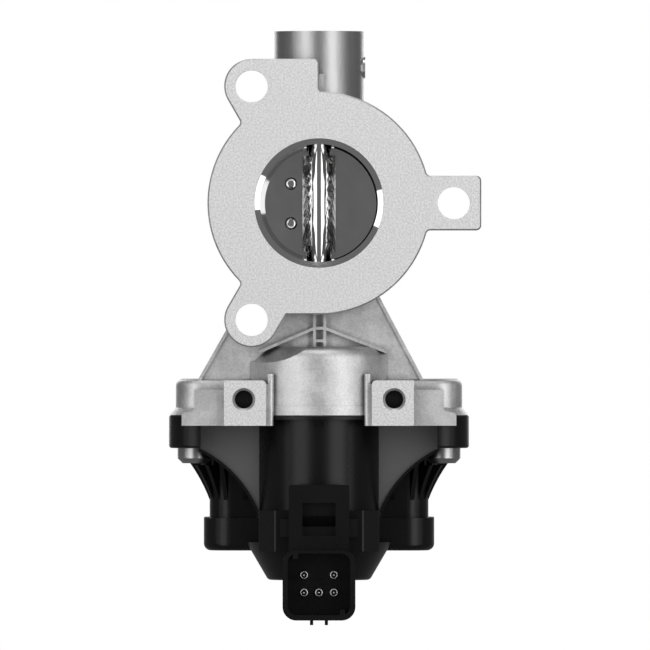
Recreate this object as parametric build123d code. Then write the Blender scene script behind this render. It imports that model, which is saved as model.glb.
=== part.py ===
from build123d import *
import math
import os

# Exhaust gas recirculation flap valve, in millimetres. The gas bore runs along Y and
# its flange face lies at y = 0. The flap shaft stands along Z behind that face, and the
# gear case, the motor and the electrical socket hang below the bore in that order.

# Three-lug flange
FLANGE_R = 31.0
FLANGE_T = 8.0
BOLT_CIRCLE_R = 37.5
BOLT_HOLE_R = 4.5
LUG_R = 7.6
LUG_ANGLES = (0, 120, 240)
SQUARE_LUG_REACH = 7.6
LUG_CORNER_R = 1.4
LUG_ROOT_R = 1.2
FLANGE_EDGE = 0.4
FOOT_FILL_X = 9.2
FOOT_FILL_H = 6.2

# Gas bore, barrel and rear spigot
SEAT_OUTER_R = 18.0
SEAT_WALL = 1.6
SEAT_INSET = 0.8
SEAT_BACK_Y = 44.0
SEAT_MOUTH_DEPTH = 0.9
SEAT_MOUTH_W = 1.5
SEAT_SHOULDER = 0.8
BARREL_WALL = 5.0
SPIGOT_L = 12.0
SPIGOT_WALL = 3.8
SEAL_GROOVE_DEPTH = 1.8
SEAL_GROOVE_W = 3.0
SEAL_GROOVE_INSET = 2.0
SEAL_PROUD = 0.15

# Flap and shaft
SHAFT_Y = 22.0
SHAFT_R = 3.5
FLAP_GAP = 0.4
FLAP_T = 1.8
FLAP_SET_BACK = 1.2
LAND_LIP = 1.4
LAND_T = 2.0
LAND_GAP = 0.05
LAND_FROM_X = 4.2
BACKING_INSET = 2.8
BACKING_T = 1.2
BACKING_FROM_X = 1.0
RIVET_X = 7.8
RIVET_Z = 5.55
RIVET_SHANK_R = 1.0
RIVET_HEAD_R = 1.8
RIVET_HEAD_H = 0.9
RIVET_DIMPLE = (0.45, 0.35)
RIVET_TAIL_H = 0.7
WELD_R = 1.3
WELD_END_GAP = 1.5
SHAFT_FLATS = 5.6

# Shaft bearings
BUSH_R = 5.5
UPPER_BUSH_L = 8.0
LOWER_BUSH_L = 12.0
BUSH_RECESS = 1.5
LIP_SEAL_R = 7.0
LIP_SEAL_L = 5.0
LIP_SEAL_WALL = 1.2
LIP_T = 1.0
NECK_R = 12.5
NECK_BORE_R = 9.5
NECK_TOP_Z = 48.0
NECK_PLUG_R = 6.5
NECK_PLUG_L = 3.0
SIDE_PLUG_R = 3.0
SIDE_PLUG_DROP = 10.1
SIDE_PLUG_PROUD = 0.4
PILLAR_R = 10.0
NECK_RIB_W = 3.0
NECK_RIB_DROP = 12.0

# Gear case of the casting
DOME_DROP = 39.9
DOME_R = 21.8
DOME_WALL = 2.5
DOME_ROOF = 3.1
DOME_EDGE_R = 3.5
DOME_RISE = 9.1
DOME_BAND_H = 2.6
DOME_BAND_PROUD = 0.2
DOME_ROOM_TAPER = 4.0
SCOOP_H = 5.0
CASE_DEPTH = 10.0
CASE_HALF_X = 39.9
CASE_FRONT_Y = 10.0
CASE_BACK_Y = 72.0
CASE_CORNER_R = 7.2
CASE_EDGE_R = 1.7
CASE_ROOF = 3.0
CASE_WALL = 3.2
LIP_PROUD = 1.9
LIP_H = 2.1
LIP_SLOPE = 42.0
ROOM_FRONT_Y = 20.0
CLEARANCE_ARC_X = -15.3
CLEARANCE_ARC_Z = -24.9
CLEARANCE_ARC_R = 19.5
GUSSET_T = 6.0
GUSSET_LEFT = (-34.25, -16.0)
GUSSET_RIGHT = (29.6, 12.6)
GUSSET_TOP_Z = -18.0
GUSSET_HOLE_R = 7.0
GUSSET_RIB_W = 0.8
GUSSET_RIB_PROUD = 3.0
GUSSET_RIB_X = (-1.25, 1.6)
GUSSET_BAR_RISE = (5.1, 1.6)
GUSSET_BRACE_X = (-16.5, 18.5)
GUSSET_BRACE_DROP = 1.4
GUSSET_RIM = (0.9, 0.8)

# Bracket pads on the front of the case
PAD_IN_X = 14.7
PAD_OUT_X = 26.4
PAD_RISE = 0.3
PAD_HANG = 2.9
PAD_CORNER_R = 1.2
PAD_BACK_Y = 7.6
PAD_HOLE_X = 20.9
PAD_HOLE_RISE = 4.4
PAD_HOLE_R = 2.5
PAD_HOLE_DEPTH = 12.0
PAD_SINK = 0.7
STEP_PAD_Y = 4.0
STEP_PAD_INSET = 5.2
STEP_PAD_FOOT_INSET = 1.7
STEP_PAD_DROP = 2.9
STEP_PAD_KNEE = (2.0, 0.2, 1.6)
PAD_SHOULDER_X = 12.6
PAD_SHOULDER_Y = 2.2
PAD_SHOULDER_RISE = 1.5
PAD_SHOULDER_R = 0.9
PAD_SHOULDER_W = 2.0

# Gear train: two stages of 12 on 48 teeth between two parallel axes
MODULE = 0.8
PRESSURE_ANGLE = 25.0
PINION_TEETH = 12
WHEEL_TEETH = 48
BACKLASH = 0.2
ROOT_DEPTH = 1.25
SECTOR_FROM = 75.0
SECTOR_TO = 180.0
SECTOR_T = 4.6
SECTOR_HUB_R = 14.5
SECTOR_GAP = 0.6
FLAP_TRAVEL = 80.0
STOP_LUG_ANGLE = 14.0
STOP_GAP_ANGLE = 0.4
STOP_GAP = 0.4
WHEEL_T = 4.0
WHEEL_GAP = 1.4
WHEEL_WEB_T = 1.8
WHEEL_RIM_T = 1.8
WHEEL_HUB_T = 1.0
FLOOR_GAP = 1.4
IDLER_PIN_R = 2.0
IDLER_PIN_SEAT = 3.0
IDLER_BOSS_R = 6.0
IDLER_BOSS_H = 3.0
IDLER_SHANK_R = 3.3
CLIP_T = 0.7
CLIP_R = 5.6
MAGNET_R = (10.2, 13.4)
MAGNET_ARC = (250.0, 290.0)
MAGNET_T = 2.6
BOARD_T = 1.2
CHIP_H = 1.5
CHIP_W = 4.4
CHIP_L = 3.2
BOARD_IN_R = 8.0
BOARD_ARC = (215.0, 325.0)

# Return spring round the shaft
SPRING_R = 12.3
SPRING_WIRE_R = 0.9
SPRING_TURNS = 2.5

# Motor
MOTOR_R = 15.2
MOTOR_WALL = 1.0
MOTOR_L = 33.0
MOTOR_BOSS_R = 5.0
MOTOR_BOSS_L = 4.0
MOTOR_BOSS_LIP = 0.4
MOTOR_CAN_EDGE_R = 1.2
END_PLATE_T = 2.0
MOTOR_SHAFT_R = 1.6
BEARING_R = 3.8
BEARING_L = 3.0
ARMATURE_R = 12.0
ARMATURE_L = 21.0
ARMATURE_SLOTS = 5
ARMATURE_SLOT = (2.4, 1.6, 6.0)
ARMATURE_END_GAP = 3.0
MAGNET_GAP = 0.6
MAGNET_HALF_ARC = 65.0
MAGNET_END_GAP = 2.0
COMMUTATOR_R = 4.2
COMMUTATOR_L = 4.0
COMMUTATOR_GAP = 2.0
BRUSH_W = 3.0
BRUSH_H = 2.6
BRUSH_GAP = 0.1
BRUSH_REACH = 9.5
WASHER_T = 0.5
BLADE_X = 11.0
BLADE_W = 2.0
BLADE_T = 0.8
BLADE_L = 6.0
BLADE_RISE = 3.0

# Plastic actuator housing
GASKET_T = 0.4
GASKET_INSET = 0.3
HOUSING_FLANGE_T = 8.8
LEDGE_T = 2.0
BARREL_SKIN = 2.0
COLLAR_H = 0.8
FLANGE_FOOT_R = 0.8
HOUSING_DROP = 19.6
HOUSING_HALF_X = 30.6
HOUSING_BACK_Y = 66.0
HOUSING_FRONT_Y = 30.0
HOUSING_WALL = 2.4
HOUSING_CORNER_R = 6.0
INNER_BOX_GAP = 0.5
PANEL_Y = 17.0
PANEL_INSET = 6.9
PANEL_END_DROP = 26.2
PANEL_ARC_DROP = 0.7
PANEL_ARC_SAG = 2.1
PANEL_LIP = 0.8
STEP_H = 2.3
STEP_CORNER_R = 1.2
RIB_INSET = 0.3
RIB_WAIST_SHARE = 0.42
RIB_DROP = 14.6
RIB_WAIST_DROP = 6.9
RIB_T = 1.2
SIDE_RIB_COUNT = 4
CORNER_RIB_ANGLES = (28.0, 52.0, 76.0)
FRONT_RIB_X = 20.6
NOTCH = (2.6, 1.2, 1.6)
HOUSING_BOLT_INSET = 5.4
HOUSING_BOLT_FRONT_Y = 27.0
HOUSING_BOLT_BACK_INSET = 6.2
HOUSING_BOLT_R = 2.5
HOUSING_BOLT_HEAD_R = 5.0
HOUSING_BOLT_HEAD_H = 4.3
HOUSING_BOLT_EDGE = 1.4
HOUSING_BOLT_KEY_R = 2.3
HOUSING_BOLT_KEY_H = 2.2
HOUSING_BOLT_L = 15.4
BOLT_BOSS_R = 5.6
SLEEVE_WALL = 0.9

# Bottom cover with the socket
COVER_RIM = 1.6
COVER_FRONT_Y = 24.0
COVER_DEPTH = 9.1
COVER_EDGE_R = 2.0
COVER_WALL = 1.7
COVER_STEP_X = 16.8
COVER_STEP_CUT = (4.3, 6.0)
COVER_STEP_Y = 3.2
STEP_SINK = 4.0
BOWL_TOP_R = 18.9
BOWL_END_R = 14.2
BOWL_EDGE_R = 1.4
BOWL_SINK = 2.5
COVER_SEAL_W = 1.2
COVER_SEAL_H = 1.0
COVER_SEAL_EDGE = 0.5
COVER_SEAL_FRONT = 2.0
TOWER_HALF_X = 8.4
TOWER_FRONT_Y = -4.0
TOWER_BACK_Y = 2.6
TOWER_RISE = 9.5
TOWER_CORNER_R = 0.8
LATCH_HALF_X = 4.6
LATCH_TOP_DROP = 5.0
LATCH_H = 9.1
LATCH_DEPTH = 3.0
LATCH_RAMP_DROP = 3.7
LATCH_RAMP_H = 3.4
EAR_W = 2.4
EAR_H = 5.0
SOCKET_HALF_X = 10.1
SOCKET_RISE = 0.5
SOCKET_H = 19.4
SOCKET_CORNER_R = 3.8
SOCKET_FRONT_Y = -14.0
SOCKET_FLOOR_Y = -1.0
SOCKET_BACK_Y = 4.0
OPENING_HALF_X = 8.7
OPENING_TOP_WALL = 0.8
OPENING_H = 17.1
OPENING_CORNER_R = 2.6
KEY_W = 1.5
KEY_INSET = 2.2
SOCKET_NECK_DEPTH = 8.0
SOCKET_NECK_RISE = 1.0
PIN_R = 1.1
PIN_PITCH = 4.13
PIN_TOP_DROP = 6.8
PIN_ROW_DROP = 4.9
PIN_PROUD = 9.5
PIN_EDGE = 0.25
PIN_DIMPLE = (0.25, 0.3)
SOCKET_RIB_X = 2.05
SOCKET_RIB_W = 0.9
SOCKET_RIB_H = 1.3

# Fits, as gaps on a radius or between faces
PRESS_GAP = 0.02
RUN_GAP = 0.04
SHAFT_CLEAR = 0.3
SEAT_GAP = 0.3
MOTOR_GAP = 0.2

# Places that follow from the sizes above
BORE_R = SEAT_OUTER_R - SEAT_WALL
OUTLET_R = SEAT_OUTER_R - SEAT_SHOULDER
SPIGOT_R = OUTLET_R + SPIGOT_WALL
LAND_R = BORE_R - LAND_LIP
FLAP_R = BORE_R - FLAP_GAP
BACKING_R = FLAP_R - BACKING_INSET
WELD_HALF_L = LAND_R - WELD_END_GAP
BARREL_R = SEAT_OUTER_R + BARREL_WALL
BACK_Y = SEAT_BACK_Y + SPIGOT_L
GROOVE_Y = BACK_Y - SEAL_GROOVE_INSET - SEAL_GROOVE_W
FLAP_FRONT_Y = SHAFT_Y + FLAP_SET_BACK
FLAP_BACK_Y = FLAP_FRONT_Y + FLAP_T
BACKING_BACK_Y = FLAP_BACK_Y + BACKING_T
CENTRES = MODULE * (PINION_TEETH + WHEEL_TEETH) / 2
IDLER_Y = SHAFT_Y + CENTRES
DOME_TOP_Z = -DOME_DROP
DOME_ROOM_Z = DOME_TOP_Z - DOME_ROOF
CASE_TOP_Z = DOME_TOP_Z - DOME_RISE
ROOF_Z = CASE_TOP_Z - CASE_ROOF
SPLIT_Z = CASE_TOP_Z - CASE_DEPTH
SECTOR_TOP_Z = ROOF_Z - SECTOR_GAP
SECTOR_END_Z = SECTOR_TOP_Z - SECTOR_T
WHEEL_TOP_Z = SECTOR_END_Z - WHEEL_GAP
WHEEL_END_Z = WHEEL_TOP_Z - WHEEL_T
FLOOR_Z = WHEEL_END_Z - FLOOR_GAP
MOTOR_TOP_Z = FLOOR_Z - LEDGE_T
MOTOR_END_Z = MOTOR_TOP_Z - MOTOR_L
HOUSING_TOP_Z = SPLIT_Z - GASKET_T
HOUSING_FLANGE_Z = HOUSING_TOP_Z - HOUSING_FLANGE_T
COVER_TOP_Z = HOUSING_FLANGE_Z - HOUSING_DROP
COVER_END_Z = COVER_TOP_Z - COVER_DEPTH
CUP_FLOOR_Z = MOTOR_END_Z - WASHER_T
CUP_BOSS_Z = MOTOR_END_Z - MOTOR_BOSS_L - SEAT_GAP
BOWL_END_Z = CUP_BOSS_Z - COVER_WALL
MOTOR_ROOM_R = MOTOR_R + MOTOR_GAP
HOUSING_BARREL_R = MOTOR_ROOM_R + BARREL_SKIN
DOME_ROOM_R = DOME_R - DOME_WALL
DOME_TAPER_Z = DOME_ROOM_Z - DOME_ROOM_TAPER
GUSSET_Y = SHAFT_Y - PILLAR_R - SEAT_GAP
STEP_PAD_X = CASE_HALF_X - STEP_PAD_INSET
STEP_PAD_FOOT_X = CASE_HALF_X - STEP_PAD_FOOT_INSET
PANEL_OUT_X = CASE_HALF_X - PANEL_INSET
RIB_OUT = CASE_HALF_X - HOUSING_HALF_X - RIB_INSET
COVER_HALF_X = HOUSING_HALF_X + COVER_RIM
COVER_BACK_Y = HOUSING_BACK_Y + COVER_RIM
COVER_CORNER_R = HOUSING_CORNER_R + COVER_RIM
PAD_END_Z = SPLIT_Z - PAD_HANG
PAD_TOP_Z = CASE_TOP_Z - PAD_RISE
SOCKET_TOP_Z = COVER_END_Z + SOCKET_RISE
TOWER_TOP_Z = COVER_TOP_Z + TOWER_RISE
SIDE_PLUG_Z = NECK_TOP_Z - SIDE_PLUG_DROP
UPPER_BUSH_Z = SEAT_OUTER_R + BUSH_RECESS
NECK_PLUG_Z = UPPER_BUSH_Z + UPPER_BUSH_L + SEAT_GAP
LIP_SEAL_TOP_Z = DOME_ROOM_Z + LIP_SEAL_L
LOWER_BUSH_TOP_Z = LIP_SEAL_TOP_Z + LOWER_BUSH_L
HOUSING_BOLT_X = CASE_HALF_X - HOUSING_BOLT_INSET
HOUSING_BOLT_BACK_Y = CASE_BACK_Y - HOUSING_BOLT_BACK_INSET
HOUSING_BOLTS = [
    (side * HOUSING_BOLT_X, y) for side in (-1, 1) for y in (HOUSING_BOLT_FRONT_Y, HOUSING_BOLT_BACK_Y)
]


def rod(r, z0, z1, x=0.0, y=SHAFT_Y):
    """Upright cylinder between two heights."""
    return Pos(x, y, (z0 + z1) / 2) * Cylinder(r, abs(z1 - z0))


def drum(r, y0, y1, x=0.0, z=0.0):
    """Cylinder along the gas bore between two depths."""
    return Pos(x, (y0 + y1) / 2, z) * Rot(90, 0, 0) * Cylinder(r, y1 - y0)


def block(x0, x1, y0, y1, z0, z1):
    """Box between opposite corners."""
    centre = Pos((x0 + x1) / 2, (y0 + y1) / 2, (z0 + z1) / 2)
    return centre * Box(abs(x1 - x0), abs(y1 - y0), abs(z1 - z0))


def upright(sketch, z0, z1):
    """Plan outline pulled up from z0 to z1."""
    return extrude(Pos(0, 0, z0) * sketch, z1 - z0)


def fore_aft(sketch, y0, y1):
    """Front-view outline pulled back from y0 to y1."""
    return extrude(Plane.XZ.offset(-y1) * sketch, y1 - y0)


def polar(radius, angle):
    """Point at an angle in degrees."""
    return (radius * math.cos(math.radians(angle)), radius * math.sin(math.radians(angle)))


def outline(*points):
    """Closed straight-sided outline through the points."""
    return make_face(Polyline(*points, close=True))


def pie(r0, r1, a0, a1, x=0.0, y=SHAFT_Y):
    """Ring segment between two radii and two angles."""
    wedge = outline((0, 0), polar(2 * r1, a0), polar(2 * r1, (a0 + a1) / 2), polar(2 * r1, a1))
    return Pos(x, y) * ((Circle(r1) - Circle(r0)) & wedge)


def mirrored(shape):
    """A shape and its copy on the other side of the valve's centre plane."""
    return shape + mirror(shape, Plane.YZ)


# Valve body


def flange_outline():
    """Round flange with a square-ended, a block-shaped and a round lug."""
    face = Circle(FLANGE_R)
    for angle in LUG_ANGLES:
        arm = Pos(BOLT_CIRCLE_R / 2, 0) * Rectangle(BOLT_CIRCLE_R, 2 * LUG_R)
        face += Rot(0, 0, angle) * (arm + Pos(BOLT_CIRCLE_R, 0) * Circle(LUG_R))
    square_end = BOLT_CIRCLE_R + SQUARE_LUG_REACH
    face += Pos(square_end / 2, 0) * Rectangle(square_end, 2 * LUG_R)
    left_x, top_z = polar(BOLT_CIRCLE_R, LUG_ANGLES[1])
    face += Pos(left_x / 2, (top_z + LUG_R) / 2) * Rectangle(-left_x, top_z + LUG_R)
    foot = Pos(-FOOT_FILL_X / 2, FOOT_FILL_H / 2 - FLANGE_R) * Rectangle(FOOT_FILL_X, FOOT_FILL_H)
    return face + foot


def flange():
    """Flange plate with rounded lug roots and a bevelled rim."""
    face = flange_outline()
    square_end = BOLT_CIRCLE_R + SQUARE_LUG_REACH
    top_z = polar(BOLT_CIRCLE_R, LUG_ANGLES[1])[1] + LUG_R
    outer = [v for v in face.vertices() if abs(v.X - square_end) < 0.01]
    outer += [v for v in face.vertices() if abs(v.X) < 0.01 and abs(v.Y - top_z) < 0.01]
    face = fillet(outer, LUG_CORNER_R)
    roots = [v for v in face.vertices() if abs(math.hypot(v.X, v.Y) - FLANGE_R) < 0.01]
    roots = [v for v in roots if v.Y > -FLANGE_R + 1]
    face = fillet(roots, LUG_ROOT_R)
    plate = fore_aft(face, 0, FLANGE_T)
    front_rim = plate.faces().sort_by(Axis.Y)[0].outer_wire().edges()
    plate = chamfer(front_rim, FLANGE_EDGE)
    for angle in LUG_ANGLES:
        x, z = polar(BOLT_CIRCLE_R, angle)
        plate -= drum(BOLT_HOLE_R, -1, FLANGE_T + 1, x, z)
    return plate


def barrel():
    """Round bore housing behind the flange, with the grooved spigot at its back."""
    shell = drum(BARREL_R, FLANGE_T / 2, SEAT_BACK_Y)
    shell += drum(SPIGOT_R, SEAT_BACK_Y - 1, BACK_Y)
    groove = drum(SPIGOT_R + 1, GROOVE_Y, GROOVE_Y + SEAL_GROOVE_W)
    groove -= drum(SPIGOT_R - SEAL_GROOVE_DEPTH, GROOVE_Y - 1, GROOVE_Y + SEAL_GROOVE_W + 1)
    return shell - groove


def gusset():
    """Cast web in front of the shaft's pillar, with thin ribs, a rim and a bolt clearance."""
    top = [Vector(x, GUSSET_TOP_Z) for x in (GUSSET_LEFT[1], GUSSET_RIGHT[1])]
    foot = [Vector(x, CASE_TOP_Z - 1) for x in (GUSSET_LEFT[0], GUSSET_RIGHT[0])]
    face = outline(top[0], top[1], foot[1], foot[0])
    rim_w, rim_proud = GUSSET_RIM
    rims = Sketch()
    for upper, lower in zip(top, foot):
        rims += face & make_face(offset(Line(upper, lower), rim_w, side=Side.BOTH))
    ribs = Sketch()
    for x in GUSSET_RIB_X:
        middle_z = (GUSSET_TOP_Z + DOME_TOP_Z) / 2
        ribs += Pos(x, middle_z) * Rectangle(GUSSET_RIB_W, GUSSET_TOP_Z - DOME_TOP_Z + 2)
    for rise in GUSSET_BAR_RISE:
        across = Rectangle(GUSSET_RIB_X[1] - GUSSET_RIB_X[0], GUSSET_RIB_W)
        ribs += Pos(sum(GUSSET_RIB_X) / 2, DOME_TOP_Z + rise) * across
    for start_x, end_x in zip(GUSSET_RIB_X, GUSSET_BRACE_X):
        start = Vector(start_x, DOME_TOP_Z + GUSSET_BAR_RISE[0])
        end = Vector(end_x, DOME_TOP_Z - GUSSET_BRACE_DROP)
        ribs += make_face(offset(Line(start, end), GUSSET_RIB_W / 2, side=Side.BOTH))
    web = fore_aft(face, GUSSET_Y, GUSSET_Y + GUSSET_T)
    web += fore_aft(rims, GUSSET_Y - rim_proud, GUSSET_Y + 1)
    web += fore_aft(ribs, GUSSET_Y - GUSSET_RIB_PROUD, GUSSET_Y + 1)
    x, z = polar(BOLT_CIRCLE_R, LUG_ANGLES[2])
    return web - drum(GUSSET_HOLE_R, FLANGE_T, GUSSET_Y + GUSSET_T + 1, x, z)


def case_plan(grow=0.0):
    """Rounded plan outline of the gear case, grown all round for its lip."""
    depth = CASE_BACK_Y - CASE_FRONT_Y
    middle = (CASE_BACK_Y + CASE_FRONT_Y) / 2
    shape = RectangleRounded(2 * (CASE_HALF_X + grow), depth + 2 * grow, CASE_CORNER_R + grow)
    return Pos(0, middle) * shape


def room_plan(front_r):
    """Plan of the gear room: a wide back part round four bolt bosses and a round front."""
    half_x = CASE_HALF_X - CASE_WALL
    back_y = CASE_BACK_Y - CASE_WALL
    depth = back_y - ROOM_FRONT_Y
    room = Pos(0, ROOM_FRONT_Y + depth / 2) * Rectangle(2 * half_x, depth)
    for x, y in HOUSING_BOLTS:
        out_x = math.copysign(CASE_HALF_X, x)
        out_y = CASE_BACK_Y if y > IDLER_Y else CASE_FRONT_Y
        room -= Pos(x, y) * Circle(BOLT_BOSS_R)
        room -= Pos((x + out_x) / 2, y) * Rectangle(abs(out_x - x), 2 * BOLT_BOSS_R)
        room -= Pos(x, (y + out_y) / 2) * Rectangle(2 * BOLT_BOSS_R, abs(out_y - y))
    return room + Pos(0, SHAFT_Y) * Circle(front_r)


def dome():
    """Round dome over the spring, bevelled by a scoop where a flange bolt passes."""
    shell = rod(DOME_R, SPLIT_Z, DOME_TOP_Z)
    shell = fillet(shell.edges().sort_by(Axis.Z)[-1], DOME_EDGE_R)
    shell += rod(DOME_R + DOME_BAND_PROUD, SPLIT_Z, SPLIT_Z + DOME_BAND_H)
    bevel = Cone(DOME_R, DOME_R - SCOOP_H, SCOOP_H)
    kept = rod(DOME_R + 1, SPLIT_Z - 1, DOME_TOP_Z - SCOOP_H)
    kept += Pos(0, SHAFT_Y, DOME_TOP_Z - SCOOP_H / 2) * bevel
    scoop = drum(CLEARANCE_ARC_R, -1, SHAFT_Y, CLEARANCE_ARC_X, CLEARANCE_ARC_Z)
    return shell - (scoop - kept)


def gear_case():
    """Lower part of the casting, still solid: case, lip, dome, idler boss and bracket pads."""
    case = upright(case_plan(), SPLIT_Z, CASE_TOP_Z)
    case = fillet(case.faces().sort_by(Axis.Z)[-1].edges(), CASE_EDGE_R)
    case += extrude(Pos(0, 0, SPLIT_Z) * case_plan(LIP_PROUD), LIP_H, taper=LIP_SLOPE)
    case += dome()
    case += rod(IDLER_BOSS_R, CASE_TOP_Z - 1, CASE_TOP_Z + IDLER_BOSS_H, y=IDLER_Y)
    return case + mirrored(bracket_pad())


def case_holes():
    """Gear room, dome room, bracket holes, bolt holes and the idler pin's hole."""
    holes = upright(room_plan(MOTOR_ROOM_R), SPLIT_Z - 1, ROOF_Z)
    holes += rod(DOME_ROOM_R, SPLIT_Z - 1, DOME_TAPER_Z)
    taper = Cone(DOME_ROOM_R, DOME_ROOM_R - DOME_ROOM_TAPER, DOME_ROOM_TAPER)
    holes += Pos(0, SHAFT_Y, (DOME_ROOM_Z + DOME_TAPER_Z) / 2) * taper
    for x in (-PAD_HOLE_X, PAD_HOLE_X):
        z = SPLIT_Z + PAD_HOLE_RISE
        holes += drum(PAD_HOLE_R, -1, PAD_HOLE_DEPTH, x, z)
        sink = Cone(PAD_HOLE_R, PAD_HOLE_R + PAD_SINK, PAD_SINK)
        holes += Pos(x, PAD_SINK / 2, z) * Rot(90, 0, 0) * sink
    for x, y in HOUSING_BOLTS:
        holes += rod(HOUSING_BOLT_R, SPLIT_Z - 1, SPLIT_Z + HOUSING_BOLT_L - HOUSING_FLANGE_T, x, y)
    return holes + rod(IDLER_PIN_R, ROOF_Z - 1, ROOF_Z + IDLER_PIN_SEAT, y=IDLER_Y)


def bracket_pad():
    """Right-hand pad: a flat face in the flange plane, a stepped one and a set-back shoulder."""
    middle = Pos((PAD_IN_X + PAD_OUT_X) / 2, (PAD_TOP_Z + PAD_END_Z) / 2)
    main = middle * Rectangle(PAD_OUT_X - PAD_IN_X, PAD_TOP_Z - PAD_END_Z)
    corner = main.vertices().sort_by(Axis.X)[:2].sort_by(Axis.Y)[-1]
    pad = fore_aft(fillet(corner, PAD_CORNER_R), 0, PAD_BACK_Y)
    knee_rise, foot_drop, bend = STEP_PAD_KNEE
    top_z = CASE_TOP_Z - STEP_PAD_DROP
    knee_z = SPLIT_Z + knee_rise
    foot_z = SPLIT_Z - foot_drop
    s_curve = Bezier(
        (STEP_PAD_X, knee_z),
        (STEP_PAD_X, knee_z - bend),
        (STEP_PAD_FOOT_X, foot_z + bend),
        (STEP_PAD_FOOT_X, foot_z),
    )
    sides = Polyline(
        (STEP_PAD_FOOT_X, foot_z),
        (STEP_PAD_FOOT_X, PAD_END_Z),
        (PAD_OUT_X - 1, PAD_END_Z),
        (PAD_OUT_X - 1, top_z),
        (STEP_PAD_X, top_z),
        (STEP_PAD_X, knee_z),
    )
    pad += fore_aft(make_face(Curve() + s_curve + sides), STEP_PAD_Y, PAD_BACK_Y)
    into_case = ROOM_FRONT_Y - CASE_WALL
    pad += block(PAD_IN_X, STEP_PAD_X, PAD_BACK_Y - 1, into_case, SPLIT_Z, CASE_TOP_Z - CASE_ROOF)
    width = PAD_OUT_X - PAD_SHOULDER_X - 1
    depth = PAD_BACK_Y - PAD_SHOULDER_Y
    shoulder = Pos(PAD_SHOULDER_X + width / 2, PAD_SHOULDER_Y + depth / 2)
    shoulder *= RectangleRounded(width, depth, PAD_SHOULDER_R)
    pad += upright(shoulder, PAD_END_Z, PAD_TOP_Z - 1)
    rise = Pos(PAD_SHOULDER_X + PAD_SHOULDER_W / 2, PAD_SHOULDER_Y + depth / 2)
    rise *= RectangleRounded(PAD_SHOULDER_W, depth, PAD_SHOULDER_R)
    return pad + upright(rise, PAD_END_Z, CASE_TOP_Z + PAD_SHOULDER_RISE)


def stop_lugs():
    """Cast lugs on the dome wall that the sector's two ends come up to."""
    inner_r = SECTOR_HUB_R + STOP_GAP
    opened = SECTOR_FROM - FLAP_TRAVEL - STOP_GAP_ANGLE
    closed = SECTOR_TO + STOP_GAP_ANGLE
    plan = pie(inner_r, DOME_ROOM_R + 1, opened - STOP_LUG_ANGLE, opened)
    plan += pie(inner_r, DOME_ROOM_R + 1, closed, closed + STOP_LUG_ANGLE)
    return upright(plan, SECTOR_END_Z, DOME_TAPER_Z + 1)


def valve_body():
    """The whole aluminium casting with its machined bores."""
    body = flange() + barrel()
    body += rod(NECK_R, 0, NECK_TOP_Z)
    rib_w = NECK_RIB_W / 2
    body += block(-rib_w, rib_w, FLANGE_T - 1, SHAFT_Y, BARREL_R - 2, NECK_TOP_Z - NECK_RIB_DROP)
    body += rod(PILLAR_R, DOME_TOP_Z - 1, 0)
    body += gusset()
    body += gear_case()
    body -= case_holes()
    body += stop_lugs()
    body -= drum(SEAT_OUTER_R, -1, SEAT_BACK_Y)
    body -= drum(OUTLET_R, SEAT_BACK_Y - 1, BACK_Y + 1)
    body -= rod(SHAFT_R + SHAFT_CLEAR, LOWER_BUSH_TOP_Z - 1, UPPER_BUSH_Z + 1)
    body -= rod(BUSH_R, UPPER_BUSH_Z, NECK_PLUG_Z + 1)
    body -= rod(NECK_PLUG_R, NECK_PLUG_Z, NECK_TOP_Z)
    body -= rod(NECK_BORE_R, NECK_PLUG_Z + NECK_PLUG_L, NECK_TOP_Z + 1)
    body -= rod(BUSH_R, LIP_SEAL_TOP_Z - 1, LOWER_BUSH_TOP_Z)
    body -= rod(LIP_SEAL_R, DOME_ROOM_Z - 1, LIP_SEAL_TOP_Z)
    side_hole = Pos(NECK_R, SHAFT_Y, SIDE_PLUG_Z) * Rot(0, 90, 0)
    body -= side_hole * Cylinder(SIDE_PLUG_R, 2 * (NECK_R - NECK_BORE_R) + 1)
    return body


def neck_side_plug():
    """Pressed plug in the cross hole of the neck."""
    length = NECK_R - NECK_BORE_R + SIDE_PLUG_PROUD
    x = NECK_R + SIDE_PLUG_PROUD - length / 2
    plug = Pos(x, SHAFT_Y, SIDE_PLUG_Z) * Rot(0, 90, 0) * Cylinder(SIDE_PLUG_R - PRESS_GAP, length)
    return plug - rod(NECK_BORE_R, SIDE_PLUG_Z - SIDE_PLUG_R - 1, SIDE_PLUG_Z + SIDE_PLUG_R + 1)


def neck_plug():
    """Disc that closes the shaft's upper bearing."""
    disc = rod(NECK_PLUG_R - PRESS_GAP, NECK_PLUG_Z, NECK_PLUG_Z + NECK_PLUG_L)
    return chamfer(disc.edges().sort_by(Axis.Z)[-1], 0.5)


def seat_ring():
    """Steel sleeve in the bore with one half-round land each side of the flap."""
    ring = drum(SEAT_OUTER_R - PRESS_GAP, SEAT_INSET, SEAT_BACK_Y)
    ring -= drum(BORE_R, 0, SEAT_BACK_Y + 1)
    mouth = Cone(BORE_R, BORE_R + SEAT_MOUTH_W, SEAT_MOUTH_DEPTH)
    ring -= Pos(0, SEAT_INSET + SEAT_MOUTH_DEPTH / 2, 0) * Rot(90, 0, 0) * mouth
    band = Circle(BORE_R + SEAT_WALL / 2) - Circle(LAND_R)
    side = Rectangle(2 * BARREL_R, 4 * BARREL_R)
    left = band & Pos(-LAND_FROM_X - BARREL_R, 0) * side
    right = band & Pos(LAND_FROM_X + BARREL_R, 0) * side
    front_land_y = FLAP_FRONT_Y - LAND_GAP
    back_land_y = FLAP_BACK_Y + LAND_GAP
    ring += fore_aft(left, front_land_y - LAND_T, front_land_y)
    ring += fore_aft(right, back_land_y, back_land_y + LAND_T)
    return ring - rod(SHAFT_R + SHAFT_CLEAR, -BARREL_R, BARREL_R)


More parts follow.
